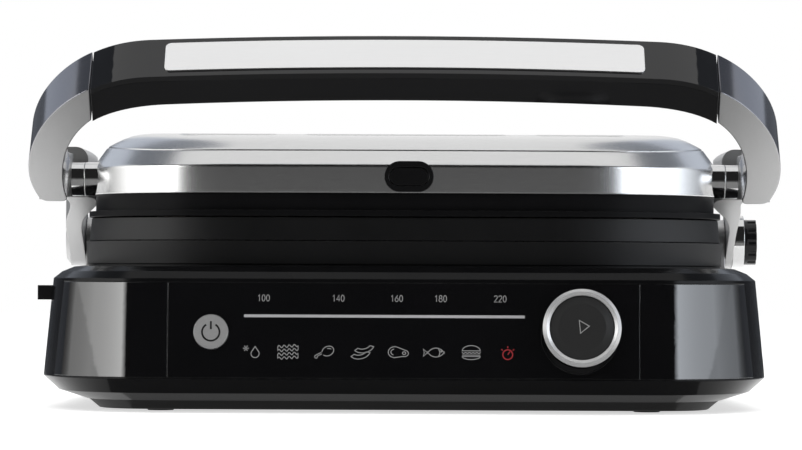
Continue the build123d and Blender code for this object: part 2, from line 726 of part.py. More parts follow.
def make_bar_channel():
    """Inner shell of the grip bar, a channel under the cap."""
    solid_bar, layer, hollow = bar_layers()
    return (solid_bar & layer) - hollow - handle_screw(-1) - handle_screw(1)


def inlay_form():
    """Silver inlay in the outer face of the bar, following its crown."""
    upper = ThreePointArc((-inlay_half, 0.75 - 4.42), (0, 0.75), (inlay_half, 0.75 - 4.42))
    lower = ThreePointArc((inlay_half, -1.4 - 4.42), (0, -1.4), (-inlay_half, -1.4 - 4.42))
    sides = [Line((inlay_half, 0.75 - 4.42), (inlay_half, -1.4 - 4.42)),
             Line((-inlay_half, -1.4 - 4.42), (-inlay_half, 0.75 - 4.42))]
    face = handle_plane() * make_face([upper, sides[0], lower, sides[1]])
    strip = extrude(face, inlay_height, dir=(0, sin(handle_tilt), cos(handle_tilt)))
    back = (handle_width - inlay_height) / 2
    strip = Pos(0, back * sin(handle_tilt), back * cos(handle_tilt)) * strip
    mask = Rot(90, 0, 0) * extrude(RectangleRounded(2 * inlay_half, inlay_height, 3.0), 20, both=True)
    return strip & (handle_plane().location * Pos(0, 0, -handle_width / 2) * mask)


def make_pivot_collar(side):
    """Chrome collar on the lid side, with its bush through the cover."""
    collar = rod_x(150, 164.2, pivot_y, pivot_z, pivot_radius) - lid_form(0)
    collar += rod_x(147, lid_half, pivot_y, pivot_z, 5.9)
    collar -= rod_x(140, 170, pivot_y, pivot_z, pivot_shaft_radius + running_gap)
    return collar if side > 0 else mirror(collar, about=Plane.YZ)


def make_pivot_nut(side):
    """Round nut that holds the collar from inside the lid."""
    nut = (rod_x(148, 158, pivot_y, pivot_z, 7.0) & lid_form(sheet)) - rod_x(140, 170, pivot_y, pivot_z, 5.9)
    return nut if side > 0 else mirror(nut, about=Plane.YZ)


def make_pivot_pin(side):
    """Chrome sleeve and shaft that carry the lid."""
    pin = rod_x(164.5, 172.5, pivot_y, pivot_z, pivot_radius) + rod_x(146, 181, pivot_y, pivot_z, pivot_shaft_radius)
    return pin if side > 0 else mirror(pin, about=Plane.YZ)


def make_hinge_pin(side):
    """Hinge pin pressed in the arm eye; the right one is hollow for the lock shaft."""
    outer_x = eye_outer_x if side < 0 else right_eye_outer_x
    pin = rod_x(tower_inner_x - 3, outer_x, hinge_y, hinge_z, hinge_pin_radius)
    if side > 0:
        pin -= rod_x(150, 200, hinge_y, hinge_z, lock_shaft_radius + running_gap)
    return pin if side > 0 else mirror(pin, about=Plane.YZ)


def make_hinge_cap():
    """Domed cap over the left hinge."""
    height = 2.4
    return Pos(-eye_outer_x - height / 2, hinge_y, hinge_z) * Rot(0, -90, 0) * Cone(14.0, 11.0, height)


lock_shaft_radius = 2.0
knob_end_x = 195.4


def make_lock_ring():
    """Bright ring between the right arm eye and the lock knob."""
    ring = rod_x(right_eye_outer_x, 188.4, hinge_y, hinge_z, 14.8)
    return ring - rod_x(180, 190, hinge_y, hinge_z, lock_shaft_radius + running_gap)


def make_lock_knob():
    """Lock knob with a grip flat on each side of its rim."""
    knob = rod_x(188.7, knob_end_x, hinge_y, hinge_z, 12.6)
    for step in range(12):
        angle = radians(30 * step)
        knob -= rod_x(190.5, knob_end_x + 1, hinge_y + 13.6 * cos(angle), hinge_z + 13.6 * sin(angle), 1.8)
    return knob - rod_x(187, 194, hinge_y, hinge_z, lock_shaft_radius)


def make_lock_shaft():
    """Shaft of the lock knob with its key behind the lug."""
    shaft = rod_x(159.4, 194, hinge_y, hinge_z, lock_shaft_radius)
    return shaft + block((159.4, 162.4), (hinge_y - 3, hinge_y + 3), (hinge_z - 6, hinge_z + 6))


# ---------------------------------------------------------------- controls
def make_knob_skirt():
    """Knob body: turned skirt with a seat for the ring and a pocket for the push cap."""
    skirt = Pos(0, 0, 7.75) * Cone(knob_radius - 1.2, knob_radius - 0.2, 12.5)
    skirt -= Pos(0, 0, 16.0) * Cylinder(cap_radius + 0.3, 20)
    skirt -= Cylinder(3.0, 30)
    return on_fascia(*knob_place) * skirt


cap_radius = 15.6


def make_knob_ring():
    """Bright ring round the front of the knob, bevelled to both sides of a ridge."""
    inner = cap_radius + 0.3
    ridge = (knob_radius + inner) / 2
    section = Polyline((inner, 14), (knob_radius, 14), (knob_radius, 15.2), (ridge, 17.3), (inner, 16.2), close=True)
    ring = revolve(Plane.XZ * make_face(section), axis=Axis.Z)
    return on_fascia(*knob_place) * ring


def make_knob_cap():
    """Domed push cap in the middle of the knob."""
    rim_z = knob_height - 1.8
    face_radius = cap_radius - 4.0
    section = Polyline((0, 8.5), (cap_radius, 8.5), (cap_radius, rim_z), (face_radius, knob_height - 0.5),
                       (0, knob_height), close=True)
    return on_fascia(*knob_place) * revolve(Plane.XZ * make_face(section), axis=Axis.Z)


def make_encoder():
    """Rotary encoder on the control board."""
    can = Pos(0, 0, -13.1) * Box(13, 13, 7)
    neck = Pos(0, 0, -7.6) * Cylinder(4.2, 4.2)
    return on_fascia(*knob_place) * (can + neck - Cylinder(3.0 + running_gap, 60))


def make_encoder_shaft():
    """Shaft that joins encoder and knob."""
    return on_fascia(*knob_place) * Pos(0, 0, -4.5) * Cylinder(3.0, 23)


def make_power_button():
    """Round power button, slightly proud of the fascia, with its stem."""
    disc = Pos(0, 0, -1.4) * Cylinder(power_radius, 5.2)
    stem = Pos(0, 0, -6.5) * Cylinder(2.5, 5)
    return on_fascia(*power_place) * (disc + stem)


def make_power_switch():
    """Tactile switch behind the power button."""
    return on_fascia(*power_place) * Pos(0, 0, -13.3) * Box(9, 9, 6.6)


def make_board():
    """Control board parallel to the fascia."""
    board = on_fascia(0, 41) * Pos(0, 0, -17.4) * Box(218, 34, 1.6)
    return board


def make_side_button():
    """Release button of the lower plate: head in the side wall, slide and hook behind the tab."""
    y0, y1 = release_y
    low, high = release_z
    head = block((-button_end_x, -176), release_y, release_z)
    slide = block((-176, -hook_x + 3), (y0 + 8, y1 - 8), (low, low + 3))
    hook = block((-hook_x, -hook_x + 3), (y0 + 8, y1 - 8), (low, 64.5))
    nib = block((-hook_x - 4.4, -hook_x), (y0 + 9, y1 - 9), (60.5, 63.5))
    return head + slide + hook + nib


button_end_x = 190.4


def make_fixed_catch():
    """Fixed catch for the right tab of the lower plate, standing on the reflector pan."""
    y0, y1 = release_y
    post = block((hook_x - 3, hook_x), (y0 + 8, y1 - 8), (lower_reflector_floor + 1.2, 64.5))
    return post + block((hook_x, hook_x + 4.4), (y0 + 9, y1 - 9), (60.5, 63.5))


def make_front_button():
    """Release button of the upper plate: oval head, slide and hook behind the tab."""
    head = on_lid_front(*oval_size, -0.9, 9)
    slide = block((button_x - 5, button_x + 5), (lid_front + 9, hook_y + 3), (113.6, 118))
    hook = block((button_x - 5, button_x + 5), (hook_y, hook_y + 3), (104.8, 118))
    nib = block((button_x - 3.5, button_x + 3.5), (hook_y - 3.7, hook_y), (105, 108))
    return head + slide + hook + nib


def make_upper_catch():
    """Fixed catch for the rear tab of the upper plate, hanging from the reflector pan."""
    y = rear_hook_y
    post = block((button_x - 5, button_x + 5), (y, y + 3), (104.8, upper_reflector_top - 1.2))
    return post + block((button_x - 3.5, button_x + 3.5), (y - 3.7, y), (105, 108))


# ---------------------------------------------------------------- nodes
nodes = {
    "base_housing": make_housing(),
    "control_fascia": make_fascia(),
    "cheek_panel_left": make_cheek(-1),
    "cheek_panel_right": make_cheek(1),
    "indicator_light_bar": make_light_bar(),
    "base_bottom_cover": make_bottom_cover(),
    "feet": make_feet(),
    "housing_screws": make_housing_screws(),
    "lower_reflector": make_lower_reflector(),
    "lower_heating_element": element(lower_element_z, 44),
    "lower_element_clips": element_clips(lower_element_z, lower_reflector_floor + 1.2),
    "lower_temperature_sensor": make_sensor(0, -24, lower_floor_top - plate_floor - 0.2, lower_reflector_floor),
    "lower_grill_plate": make_lower_plate(),
    "lower_fixed_catch": make_fixed_catch(),
    "drip_chute": make_chute(),
    "drip_tray": make_tray(),
    "hinge_tower_left": make_tower(-1),
    "hinge_tower_right": make_tower(1),
    "hinge_bushes": group(make_bush(-1), make_bush(1)),
    "cord_gland": make_gland(),
    "terminal_block": make_terminal_block(),
    "thermal_fuse": make_thermal_fuse(),
    "control_board": make_board(),
    "knob_encoder": make_encoder(),
    "encoder_shaft": make_encoder_shaft(),
    "power_switch": make_power_switch(),
    "power_button": make_power_button(),
    "knob_skirt": make_knob_skirt(),
    "knob_ring": make_knob_ring(),
    "knob_cap": make_knob_cap(),
    "side_release_button": make_side_button(),
    "swing_arm_left": make_arm(-1),
    "swing_arm_right": make_arm(1),
    "arm_screws": make_arm_screws(),
    "hinge_pins": group(make_hinge_pin(-1), make_hinge_pin(1)),
    "hinge_cap": make_hinge_cap(),
    "lock_ring": make_lock_ring(),
    "lock_knob": make_lock_knob(),
    "lock_shaft": make_lock_shaft(),
    "handle_bracket_left": make_bracket(-1),
    "handle_bracket_right": make_bracket(1),
    "handle_bar_cap": make_bar_cap(),
    "handle_bar_channel": make_bar_channel(),
    "handle_inlay": inlay_form(),
    "handle_screws": group(handle_screw(-1), handle_screw(1)),
    "pivot_pins": group(make_pivot_pin(-1), make_pivot_pin(1)),
    "pivot_collars": group(make_pivot_collar(-1), make_pivot_collar(1)),
    "pivot_nuts": group(make_pivot_nut(-1), make_pivot_nut(1)),
    "lid_cover": make_lid_cover(),
    "lid_skirt": make_skirt(),
    "button_bezel": make_bezel(),
    "front_release_button": make_front_button(),
    "upper_reflector": make_upper_reflector(),
    "upper_heating_element": element(upper_element_z, 130),
    "upper_element_clips": element_clips(upper_element_z, upper_reflector_top - 1.2),
    "upper_temperature_sensor": make_sensor(0, -24, upper_floor_low + plate_floor + 0.2, upper_reflector_top),
    "upper_grill_plate": make_upper_plate(),
    "upper_fixed_catch": make_upper_catch(),
}

if __name__ == "__main__":
    os.makedirs("parts", exist_ok=True)
    for name, shape in nodes.items():
        placed = Pos(0, origin_shift, 0) * shape
        export_step(placed, f"parts/{name}.step")
        print(name, round(shape.volume))
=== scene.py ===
import json
import math

import bmesh
import bpy
from mathutils import Matrix, Vector


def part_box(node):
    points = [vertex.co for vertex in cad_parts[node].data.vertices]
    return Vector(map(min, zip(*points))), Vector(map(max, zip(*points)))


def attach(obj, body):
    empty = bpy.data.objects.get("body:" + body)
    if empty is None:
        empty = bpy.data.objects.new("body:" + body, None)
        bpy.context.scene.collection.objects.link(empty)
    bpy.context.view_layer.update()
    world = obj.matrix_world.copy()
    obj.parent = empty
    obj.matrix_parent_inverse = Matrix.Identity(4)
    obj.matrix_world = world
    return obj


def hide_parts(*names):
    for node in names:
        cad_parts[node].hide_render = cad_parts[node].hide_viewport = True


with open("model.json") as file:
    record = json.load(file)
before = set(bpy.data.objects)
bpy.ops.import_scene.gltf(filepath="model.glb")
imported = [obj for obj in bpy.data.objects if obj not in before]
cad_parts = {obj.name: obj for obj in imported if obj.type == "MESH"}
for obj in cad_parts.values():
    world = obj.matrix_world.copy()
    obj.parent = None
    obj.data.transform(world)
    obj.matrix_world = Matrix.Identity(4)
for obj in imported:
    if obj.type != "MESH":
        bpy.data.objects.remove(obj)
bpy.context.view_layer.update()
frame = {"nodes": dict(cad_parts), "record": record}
nodes = frame["nodes"]
scene = bpy.context.scene
scene.view_settings.view_transform = "Standard"
mm = 0.001
print("frame loaded:", len(nodes), "nodes")

cameraLook = {
    "distance": 2.0,        # from the front of the base to the lens, metres
    "side": 0.006,          # the lens stands almost in front of the middle
    "height": 0.0645,
    "lens": 183.2,
    "pitch": 0.806,         # degrees up from level
    "yaw": 0.215,           # degrees, turned a little to the left
    "roll": 0.25,           # the picture leans a little clockwise
    "sensor": 36,
    "farthest": 50,
}


def makeCamera(look):
    low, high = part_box("base_housing")
    data = bpy.data.cameras.new("camera")
    data.lens = look["lens"]
    data.sensor_width = look["sensor"]
    data.clip_end = look["farthest"]
    camera = bpy.data.objects.new("camera", data)
    yaw = Matrix.Rotation(math.radians(look["yaw"]), 4, "Z")
    pitch = Matrix.Rotation(math.radians(90 + look["pitch"]), 4, "X")
    roll = Matrix.Rotation(math.radians(look["roll"]), 4, "Z")
    place = Matrix.Translation((look["side"], low.y - look["distance"], look["height"]))
    camera.matrix_world = place @ yaw @ pitch @ roll
    scene.collection.objects.link(camera)
    scene.camera = camera


makeCamera(cameraLook)

# small tools for meshes and nodes


def addMesh(name, verts, faces, body=None):
    mesh = bpy.data.meshes.new(name)
    mesh.from_pydata([tuple(v) for v in verts], [], faces)
    mesh.validate()
    mesh.update()
    piece = bpy.data.objects.new(name, mesh)
    scene.collection.objects.link(piece)
    if body:
        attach(piece, body)
    return piece


def newMaterial(name):
    material = bpy.data.materials.new(name)
    material.use_nodes = True
    tree = material.node_tree
    return material, tree, tree.nodes["Principled BSDF"]


def setInputs(tree, node, inputs):
    # a plain value goes on the socket, an output is linked to it
    for key, value in (inputs or {}).items():
        if hasattr(value, "is_output"):
            tree.links.new(value, node.inputs[key])
        else:
            node.inputs[key].default_value = value
    return node


def addNode(tree, kind, inputs=None, **settings):
    # settings first, because some of them change the sockets
    node = tree.nodes.new(kind)
    for key, value in settings.items():
        setattr(node, key, value)
    return setInputs(tree, node, inputs)


def addMath(tree, operation, *values, clamp=False):
    inputs = dict(enumerate(values))
    return addNode(tree, "ShaderNodeMath", inputs, operation=operation, use_clamp=clamp).outputs[0]


def addRange(tree, value, fromLow, fromHigh, toLow=0.0, toHigh=1.0):
    limits = {"Value": value, "From Min": fromLow, "From Max": fromHigh, "To Min": toLow, "To Max": toHigh}
    return addNode(tree, "ShaderNodeMapRange", limits).outputs[0]


def mixColor(tree, factor, first, second):
    # sockets 6 and 7 are the two colours of a colour mix
    return addNode(tree, "ShaderNodeMix", {0: factor, 6: first, 7: second}, data_type="RGBA").outputs[2]


def newGroup(name, inputs, outputs):
    group = bpy.data.node_groups.new(name, "ShaderNodeTree")
    for label, kind, value in inputs:
        socket = group.interface.new_socket(label, in_out="INPUT", socket_type=kind)
        if value is not None:
            socket.default_value = value
    for label, kind in outputs:
        group.interface.new_socket(label, in_out="OUTPUT", socket_type=kind)
    return group, group.nodes.new("NodeGroupInput"), group.nodes.new("NodeGroupOutput")


def useGroup(tree, group, inputs):
    # the tree of the group has to be set before its sockets are there
    return setInputs(tree, addNode(tree, "ShaderNodeGroup", node_tree=group), inputs)


# shared effects


def makeGrain():
    # fine moulded or cast grain: a height, and a slow tone that varies over the part
    group, source, target = newGroup(
        "surfaceGrain",
        [("Size", "NodeSocketFloat", 0.0006), ("Patch", "NodeSocketFloat", 0.03)],
        [("Height", "NodeSocketFloat"), ("Tone", "NodeSocketFloat")],
    )
    place = addNode(group, "ShaderNodeTexCoord").outputs["Object"]
    fineScale = addMath(group, "DIVIDE", 1.0, source.outputs["Size"])
    patchScale = addMath(group, "DIVIDE", 1.0, source.outputs["Patch"])
    fine = addNode(group, "ShaderNodeTexNoise",
                   {"Vector": place, "Scale": fineScale, "Detail": 3.0, "Roughness": 0.6})
    patch = addNode(group, "ShaderNodeTexNoise",
                    {"Vector": place, "Scale": patchScale, "Detail": 4.0, "Roughness": 0.55})
    group.links.new(fine.outputs[0], target.inputs["Height"])
    group.links.new(patch.outputs[0], target.inputs["Tone"])
    return group


def makeBrushed():
    # long parallel scratches: the stretch is small along the brushing and large across it
    group, source, target = newGroup(
        "brushedLines",
        [("Stretch", "NodeSocketVector", None)],
        [("Height", "NodeSocketFloat"), ("Tone", "NodeSocketFloat")],
    )
    place = addNode(group, "ShaderNodeTexCoord").outputs["Object"]
    pulled = addNode(group, "ShaderNodeVectorMath",
                     {0: place, 1: source.outputs["Stretch"]}, operation="MULTIPLY").outputs[0]
    fine = addNode(group, "ShaderNodeTexNoise",
                   {"Vector": pulled, "Scale": 1.0, "Detail": 5.0, "Roughness": 0.7})
    slow = addNode(group, "ShaderNodeVectorMath", {0: pulled, 1: (0.08, 0.08, 0.08)}, operation="MULTIPLY")
    broad = addNode(group, "ShaderNodeTexNoise",
                    {"Vector": slow.outputs[0], "Scale": 1.0, "Detail": 3.0, "Roughness": 0.6})
    group.links.new(fine.outputs[0], target.inputs["Height"])
    group.links.new(broad.outputs[0], target.inputs["Tone"])
    return group


wearLook = {
    "samples": 6,
    "breaks": 420.0,                # scale of the noise that breaks the wear up
    "breakRange": (0.42, 0.62),
    "strength": 6.0,
}


def makeEdges(look):
    # rounds the edges in the shading, and marks them for wear
    group, source, target = newGroup(
        "edgeWear",
        [("Radius", "NodeSocketFloat", 0.0004)],
        [("Normal", "NodeSocketVector"), ("Mask", "NodeSocketFloat")],
    )
    rounded = addNode(group, "ShaderNodeBevel", {"Radius": source.outputs["Radius"]},
                      samples=look["samples"])
    plain = addNode(group, "ShaderNodeNewGeometry").outputs["Normal"]
    along = addNode(group, "ShaderNodeVectorMath", {0: rounded.outputs[0], 1: plain}, operation="DOT_PRODUCT")
    place = addNode(group, "ShaderNodeTexCoord").outputs["Object"]
    broken = addNode(group, "ShaderNodeTexNoise", {"Vector": place, "Scale": look["breaks"], "Detail": 4.0})
    turned = addMath(group, "SUBTRACT", 1.0, along.outputs["Value"])
    strong = addMath(group, "MULTIPLY", turned, look["strength"])
    patchy = addRange(group, broken.outputs[0], *look["breakRange"])
    mask = addMath(group, "MULTIPLY", strong, patchy, clamp=True)
    group.links.new(rounded.outputs[0], target.inputs["Normal"])
    group.links.new(mask, target.inputs["Mask"])
    return group


dustLook = {
    "facing": (-0.2, 1.0, 0.25, 1.0),   # from faces that look down to faces that look up
    "smears": 38.0,
    "smearRange": (0.4, 0.75),
    "specks": 520.0,
    "speckRange": (0.12, 0.04),
    "onPlastic": (0.16, 0.16, 0.155, 1),
    "onMetal": (0.3, 0.3, 0.29, 1),
}


def makeDust(look):
    # faint specks and smears, thicker on faces that look up
    group, source, target = newGroup(
        "faintDust",
        [("Amount", "NodeSocketFloat", 0.3)],
        [("Mask", "NodeSocketFloat")],
    )
    place = addNode(group, "ShaderNodeTexCoord")
    axes = addNode(group, "ShaderNodeSeparateXYZ", {0: place.outputs["Normal"]})
    upward = addRange(group, axes.outputs["Z"], *look["facing"])
    spot = place.outputs["Object"]
    smear = addNode(group, "ShaderNodeTexNoise",
                    {"Vector": spot, "Scale": look["smears"], "Detail": 6.0, "Roughness": 0.65})
    speck = addNode(group, "ShaderNodeTexVoronoi", {"Vector": spot, "Scale": look["specks"]})
    spots = addRange(group, speck.outputs["Distance"], *look["speckRange"])
    cloud = addRange(group, smear.outputs[0], *look["smearRange"])
    shaded = addMath(group, "MULTIPLY", addMath(group, "ADD", spots, cloud), upward)
    mask = addMath(group, "MULTIPLY", shaded, source.outputs["Amount"], clamp=True)
    group.links.new(mask, target.inputs["Mask"])
    return group


surfaceGrain = makeGrain()
brushedLines = makeBrushed()
edgeWear = makeEdges(wearLook)
faintDust = makeDust(dustLook)
print("shared effects ready")

# materials


patchSize = {"plastic": 0.04, "metal": 0.025}       # metres, of the slow changes in tone


def plasticMaterial(name, look):
    # moulded plastic: grain in the surface, lighter worn edges, a trace of dust
    material, tree, shader = newMaterial(name)
    grain = useGroup(tree, surfaceGrain, {"Size": look["grain"], "Patch": patchSize["plastic"]})
    edges = useGroup(tree, edgeWear, {"Radius": look["edge"]})
    dust = useGroup(tree, faintDust, {"Amount": look["dust"]}).outputs["Mask"]
    tone = mixColor(tree, grain.outputs["Tone"], look["color"], look["shade"])
    worn = mixColor(tree, addMath(tree, "MULTIPLY", edges.outputs["Mask"], look["wear"]), tone, look["worn"])
    dusty = mixColor(tree, dust, worn, dustLook["onPlastic"])
    rough = addRange(tree, grain.outputs["Tone"], 0.0, 1.0, *look["rough"])
    bump = addNode(tree, "ShaderNodeBump",
                   {"Height": grain.outputs["Height"], "Normal": edges.outputs["Normal"],
                    "Strength": look["bump"], "Distance": look["grain"] / 4})
    setInputs(tree, shader, {
        "Base Color": dusty, "Normal": bump.outputs[0],
        "Roughness": addMath(tree, "ADD", rough, dust, clamp=True),
        "Specular IOR Level": look.get("specular", 0.5), "Coat Weight": look.get("coat", 0.0)})
    return material


def metalMaterial(name, look):
    # metal: brushed along one axis or fine cast grain, slow tone changes, softened edges
    material, tree, shader = newMaterial(name)
    if "stretch" in look:
        lines = useGroup(tree, brushedLines, {"Stretch": look["stretch"]})
    else:
        lines = useGroup(tree, surfaceGrain, {"Size": look["grain"], "Patch": patchSize["metal"]})
    edges = useGroup(tree, edgeWear, {"Radius": look["edge"]})
    dust = useGroup(tree, faintDust, {"Amount": look["dust"]}).outputs["Mask"]
    middle = (0.3, 0.7)         # where most of the noise's values lie
    fine = addRange(tree, lines.outputs["Height"], *middle)
    tone = mixColor(tree, lines.outputs["Tone"], look["color"], look["shade"])
    streak = mixColor(tree, fine, tone, look["streak"])
    rough = addRange(tree, lines.outputs["Height"], *middle, *look["rough"])
    if "faceNormal" in look:
        # satin on the flat sides, polished round the outside and inside of the bend; the polished part takes
        # its colour from the look, which for the brackets is a painted reflection
        facing = addNode(tree, "ShaderNodeTexCoord").outputs["Normal"]
        turned = addNode(tree, "ShaderNodeVectorMath",
                         {0: facing, 1: look["faceNormal"]}, operation="DOT_PRODUCT")
        flat = addRange(tree, addMath(tree, "ABSOLUTE", turned.outputs["Value"]), *look["flatFrom"])
        streak = mixColor(tree, flat, look["polishPaintedReflection"], streak)
        rough = addNode(tree, "ShaderNodeMix", {0: flat, 2: look["polishRough"], 3: rough}).outputs[0]
    dusty = mixColor(tree, dust, streak, dustLook["onMetal"])
    bump = addNode(tree, "ShaderNodeBump",
                   {"Height": lines.outputs["Height"], "Normal": edges.outputs["Normal"],
                    "Strength": look["bump"], "Distance": 0.05 * mm})
    setInputs(tree, shader, {
        "Base Color": dusty, "Normal": bump.outputs[0],
        "Roughness": addMath(tree, "ADD", rough, dust, clamp=True),
        "Metallic": look.get("metallic", 1.0)})
    return material


def grey(value, blue=0.0):
    return (value, value, value * (1 + blue), 1)


# looks of the plastics: sizes are in metres

satinBlack = {"color": grey(0.006, 0.1), "shade": grey(0.010, 0.1), "worn": grey(0.05), "wear": 0.4,
              "rough": (0.13, 0.19), "grain": 0.0006, "bump": 0.05, "edge": 0.0007, "dust": 0.02,
              "specular": 0.25}
skirtBlack = dict(satinBlack, specular=0.05, rough=(0.3, 0.4))
housingBlack = dict(satinBlack, color=grey(0.004, 0.1), shade=grey(0.007, 0.1), specular=0.09, dust=0.01)
bottomBlack = {"color": grey(0.012), "shade": grey(0.018), "worn": grey(0.05), "wear": 0.5,
               "rough": (0.45, 0.6), "grain": 0.0009, "bump": 0.35, "edge": 0.0004, "dust": 0.06,
               "specular": 0.35}
glossBlack = {"color": grey(0.003, 0.2), "shade": grey(0.004, 0.2), "worn": grey(0.03), "wear": 0.3,
              "rough": (0.035, 0.06), "grain": 0.002, "bump": 0.015, "edge": 0.0004, "dust": 0.015, "coat": 1.0}
barBlack = dict(glossBlack, coat=0.0)
channelBlack = dict(barBlack, specular=0.36, rough=(0.06, 0.10))
buttonBlack = dict(glossBlack, coat=0.0, rough=(0.12, 0.18))
knobBlack = dict(satinBlack, color=grey(0.028), shade=grey(0.034), rough=(0.3, 0.4))
rubberBlack = {"color": grey(0.02), "shade": grey(0.03), "worn": grey(0.06), "wear": 0.4,
               "rough": (0.7, 0.85), "grain": 0.0004, "bump": 0.3, "edge": 0.0004, "dust": 0.1,
               "specular": 0.3}
plateCoating = {"color": grey(0.007, 0.08), "shade": grey(0.011, 0.08), "worn": grey(0.06), "wear": 0.3,
                "rough": (0.40, 0.50), "grain": 0.0007, "bump": 0.3, "edge": 0.0006, "dust": 0.02,
                "specular": 0.26}
boardGreen = {"color": (0.012, 0.075, 0.03, 1), "shade": (0.02, 0.1, 0.045, 1),
              "worn": (0.1, 0.16, 0.1, 1), "wear": 0.4,
              "rough": (0.3, 0.45), "grain": 0.0006, "bump": 0.2, "edge": 0.0002, "dust": 0.05}
mouldedPart = {"color": grey(0.03), "shade": grey(0.045), "worn": grey(0.09), "wear": 0.4,
               "rough": (0.45, 0.6), "grain": 0.0004, "bump": 0.25, "edge": 0.0003, "dust": 0.05}
whiteBlock = {"color": (0.72, 0.70, 0.65, 1), "shade": (0.8, 0.79, 0.74, 1),
              "worn": (0.85, 0.84, 0.8, 1), "wear": 0.3,
              "rough": (0.45, 0.6), "grain": 0.0005, "bump": 0.25, "edge": 0.0003, "dust": 0.05}
lightStrip = {"color": grey(0.52, 0.03), "shade": grey(0.60, 0.03), "worn": grey(0.7), "wear": 0.2,
              "rough": (0.3, 0.4), "grain": 0.0006, "bump": 0.05, "edge": 0.0002, "dust": 0.02}

# looks of the metals

coverSteel = {"color": grey(0.60), "shade": grey(0.68), "streak": grey(0.72), "stretch": (60, 4200, 4200),
              "rough": (0.20, 0.27), "bump": 0.06, "edge": 0.0009, "dust": 0.02}
satinCasting = {"color": grey(0.46), "shade": grey(0.50), "streak": grey(0.52), "grain": 0.0005,
                "rough": (0.36, 0.44), "bump": 0.10, "edge": 0.0006, "dust": 0.02}
# the bend's polished colour is painted dark and bluish: a painted reflection of dark bluish surroundings over a
# polished finish
bracketMetal = dict(satinCasting, faceNormal=(0, -0.7193, -0.6947), flatFrom=(0.80, 0.92),
                    polishPaintedReflection=grey(0.22, 0.08), polishRough=0.15)
brightChrome = {"color": grey(0.62), "shade": grey(0.66), "streak": grey(0.68), "grain": 0.0015,
                "rough": (0.06, 0.10), "bump": 0.02, "edge": 0.0005, "dust": 0.015}
ringSilver = {"color": grey(0.62), "shade": grey(0.67), "streak": grey(0.70), "grain": 0.0008,
              "rough": (0.30, 0.36), "bump": 0.04, "edge": 0.0004, "dust": 0.01, "metallic": 0.45}
silverInlay = {"color": grey(0.86), "shade": grey(0.90), "streak": grey(0.92), "stretch": (60, 3600, 3600),
               "rough": (0.30, 0.38), "bump": 0.04, "edge": 0.0003, "dust": 0.01}
buttonSilver = {"color": grey(0.44), "shade": grey(0.48), "streak": grey(0.50), "grain": 0.0006,
                "rough": (0.34, 0.42), "bump": 0.06, "edge": 0.0006, "dust": 0.02, "metallic": 0.35}
smallSteel = {"color": grey(0.45), "shade": grey(0.55), "streak": grey(0.6), "grain": 0.0004,
              "rough": (0.28, 0.4), "bump": 0.1, "edge": 0.0002, "dust": 0.05}
reflectorSheet = {"color": grey(0.55), "shade": grey(0.62), "streak": grey(0.65), "stretch": (3000, 80, 3000),
                  "rough": (0.28, 0.4), "bump": 0.1, "edge": 0.0004, "dust": 0.05}
heaterTube = {"color": (0.14, 0.13, 0.12, 1), "shade": (0.20, 0.17, 0.15, 1), "streak": (0.24, 0.21, 0.19, 1),
              "grain": 0.0006, "rough": (0.45, 0.6), "bump": 0.2, "edge": 0.0002, "dust": 0.05}
bushBrass = {"color": (0.55, 0.38, 0.16, 1), "shade": (0.6, 0.43, 0.2, 1), "streak": (0.66, 0.48, 0.24, 1),
             "grain": 0.0005, "rough": (0.25, 0.36), "bump": 0.1, "edge": 0.0002, "dust": 0.05}

# looks of the print

signWhite = {"color": grey(0.34), "shade": grey(0.38), "worn": grey(0.42), "wear": 0.1,
             "rough": (0.4, 0.5), "grain": 0.0004, "bump": 0.05, "edge": 0.00005, "dust": 0.02}
signRed = dict(signWhite, color=(0.42, 0.018, 0.026, 1), shade=(0.5, 0.022, 0.03, 1),
               worn=(0.5, 0.05, 0.05, 1))
signBlack = dict(signWhite, color=grey(0.008), shade=grey(0.012), worn=grey(0.03))

finishes = {
    "black_housing": plasticMaterial("satinHousing", housingBlack),
    "black_gloss": plasticMaterial("glossPanel", glossBlack),
    "black_bottom": plasticMaterial("bottomTexture", bottomBlack),
    "foot_rubber": plasticMaterial("footRubber", rubberBlack),
    "plate_coating": plasticMaterial("plateCoating", plateCoating),
    "black_parts": plasticMaterial("satinParts", satinBlack),
    "white_insulation": plasticMaterial("whiteBlock", whiteBlock),
    "board_green": plasticMaterial("boardGreen", boardGreen),
    "component_black": plasticMaterial("mouldedPart", mouldedPart),
    "bar_gloss": plasticMaterial("glossBar", barBlack),
    "button_black": plasticMaterial("glossButton", buttonBlack),
    "light_strip": plasticMaterial("lightStrip", lightStrip),
    "cover_steel": metalMaterial("coverSteel", coverSteel),
    "arm_casting": metalMaterial("satinCasting", satinCasting),
    "bright_chrome": metalMaterial("brightChrome", brightChrome),
    "silver_inlay": metalMaterial("silverInlay", silverInlay),
    "button_silver": metalMaterial("buttonSilver", buttonSilver),
    "small_steel": metalMaterial("smallSteel", smallSteel),
    "sensor_steel": metalMaterial("sensorSteel", smallSteel),
    "reflector_sheet": metalMaterial("reflectorSheet", reflectorSheet),
    "heater_tube": metalMaterial("heaterTube", heaterTube),
    "bush_brass": metalMaterial("bushBrass", bushBrass),
}
bracketFinish = metalMaterial("bracketMetal", bracketMetal)
ownFinishes = {                 # nodes that differ from the rest of their slot
    "handle_bracket_left": bracketFinish,
    "handle_bracket_right": bracketFinish,
    "handle_bar_channel": plasticMaterial("channelBlack", channelBlack),
    "lid_skirt": plasticMaterial("skirtBlack", skirtBlack),
    "knob_cap": plasticMaterial("knobBlack", knobBlack),
    "knob_ring": metalMaterial("ringSilver", ringSilver),
}
signFinishes = {
    "white": plasticMaterial("signWhite", signWhite),
    "red": plasticMaterial("signRed", signRed),
    "black": plasticMaterial("signBlack", signBlack),
}

for part in frame["record"]["subparts"]:
    finish = ownFinishes.get(part["node"], finishes[part["material_slot"]])
    for holder in nodes[part["node"]].material_slots:
        holder.material = finish

# pieces that take the place of CAD nodes where the photograph shows a somewhat other outline, in millimetres


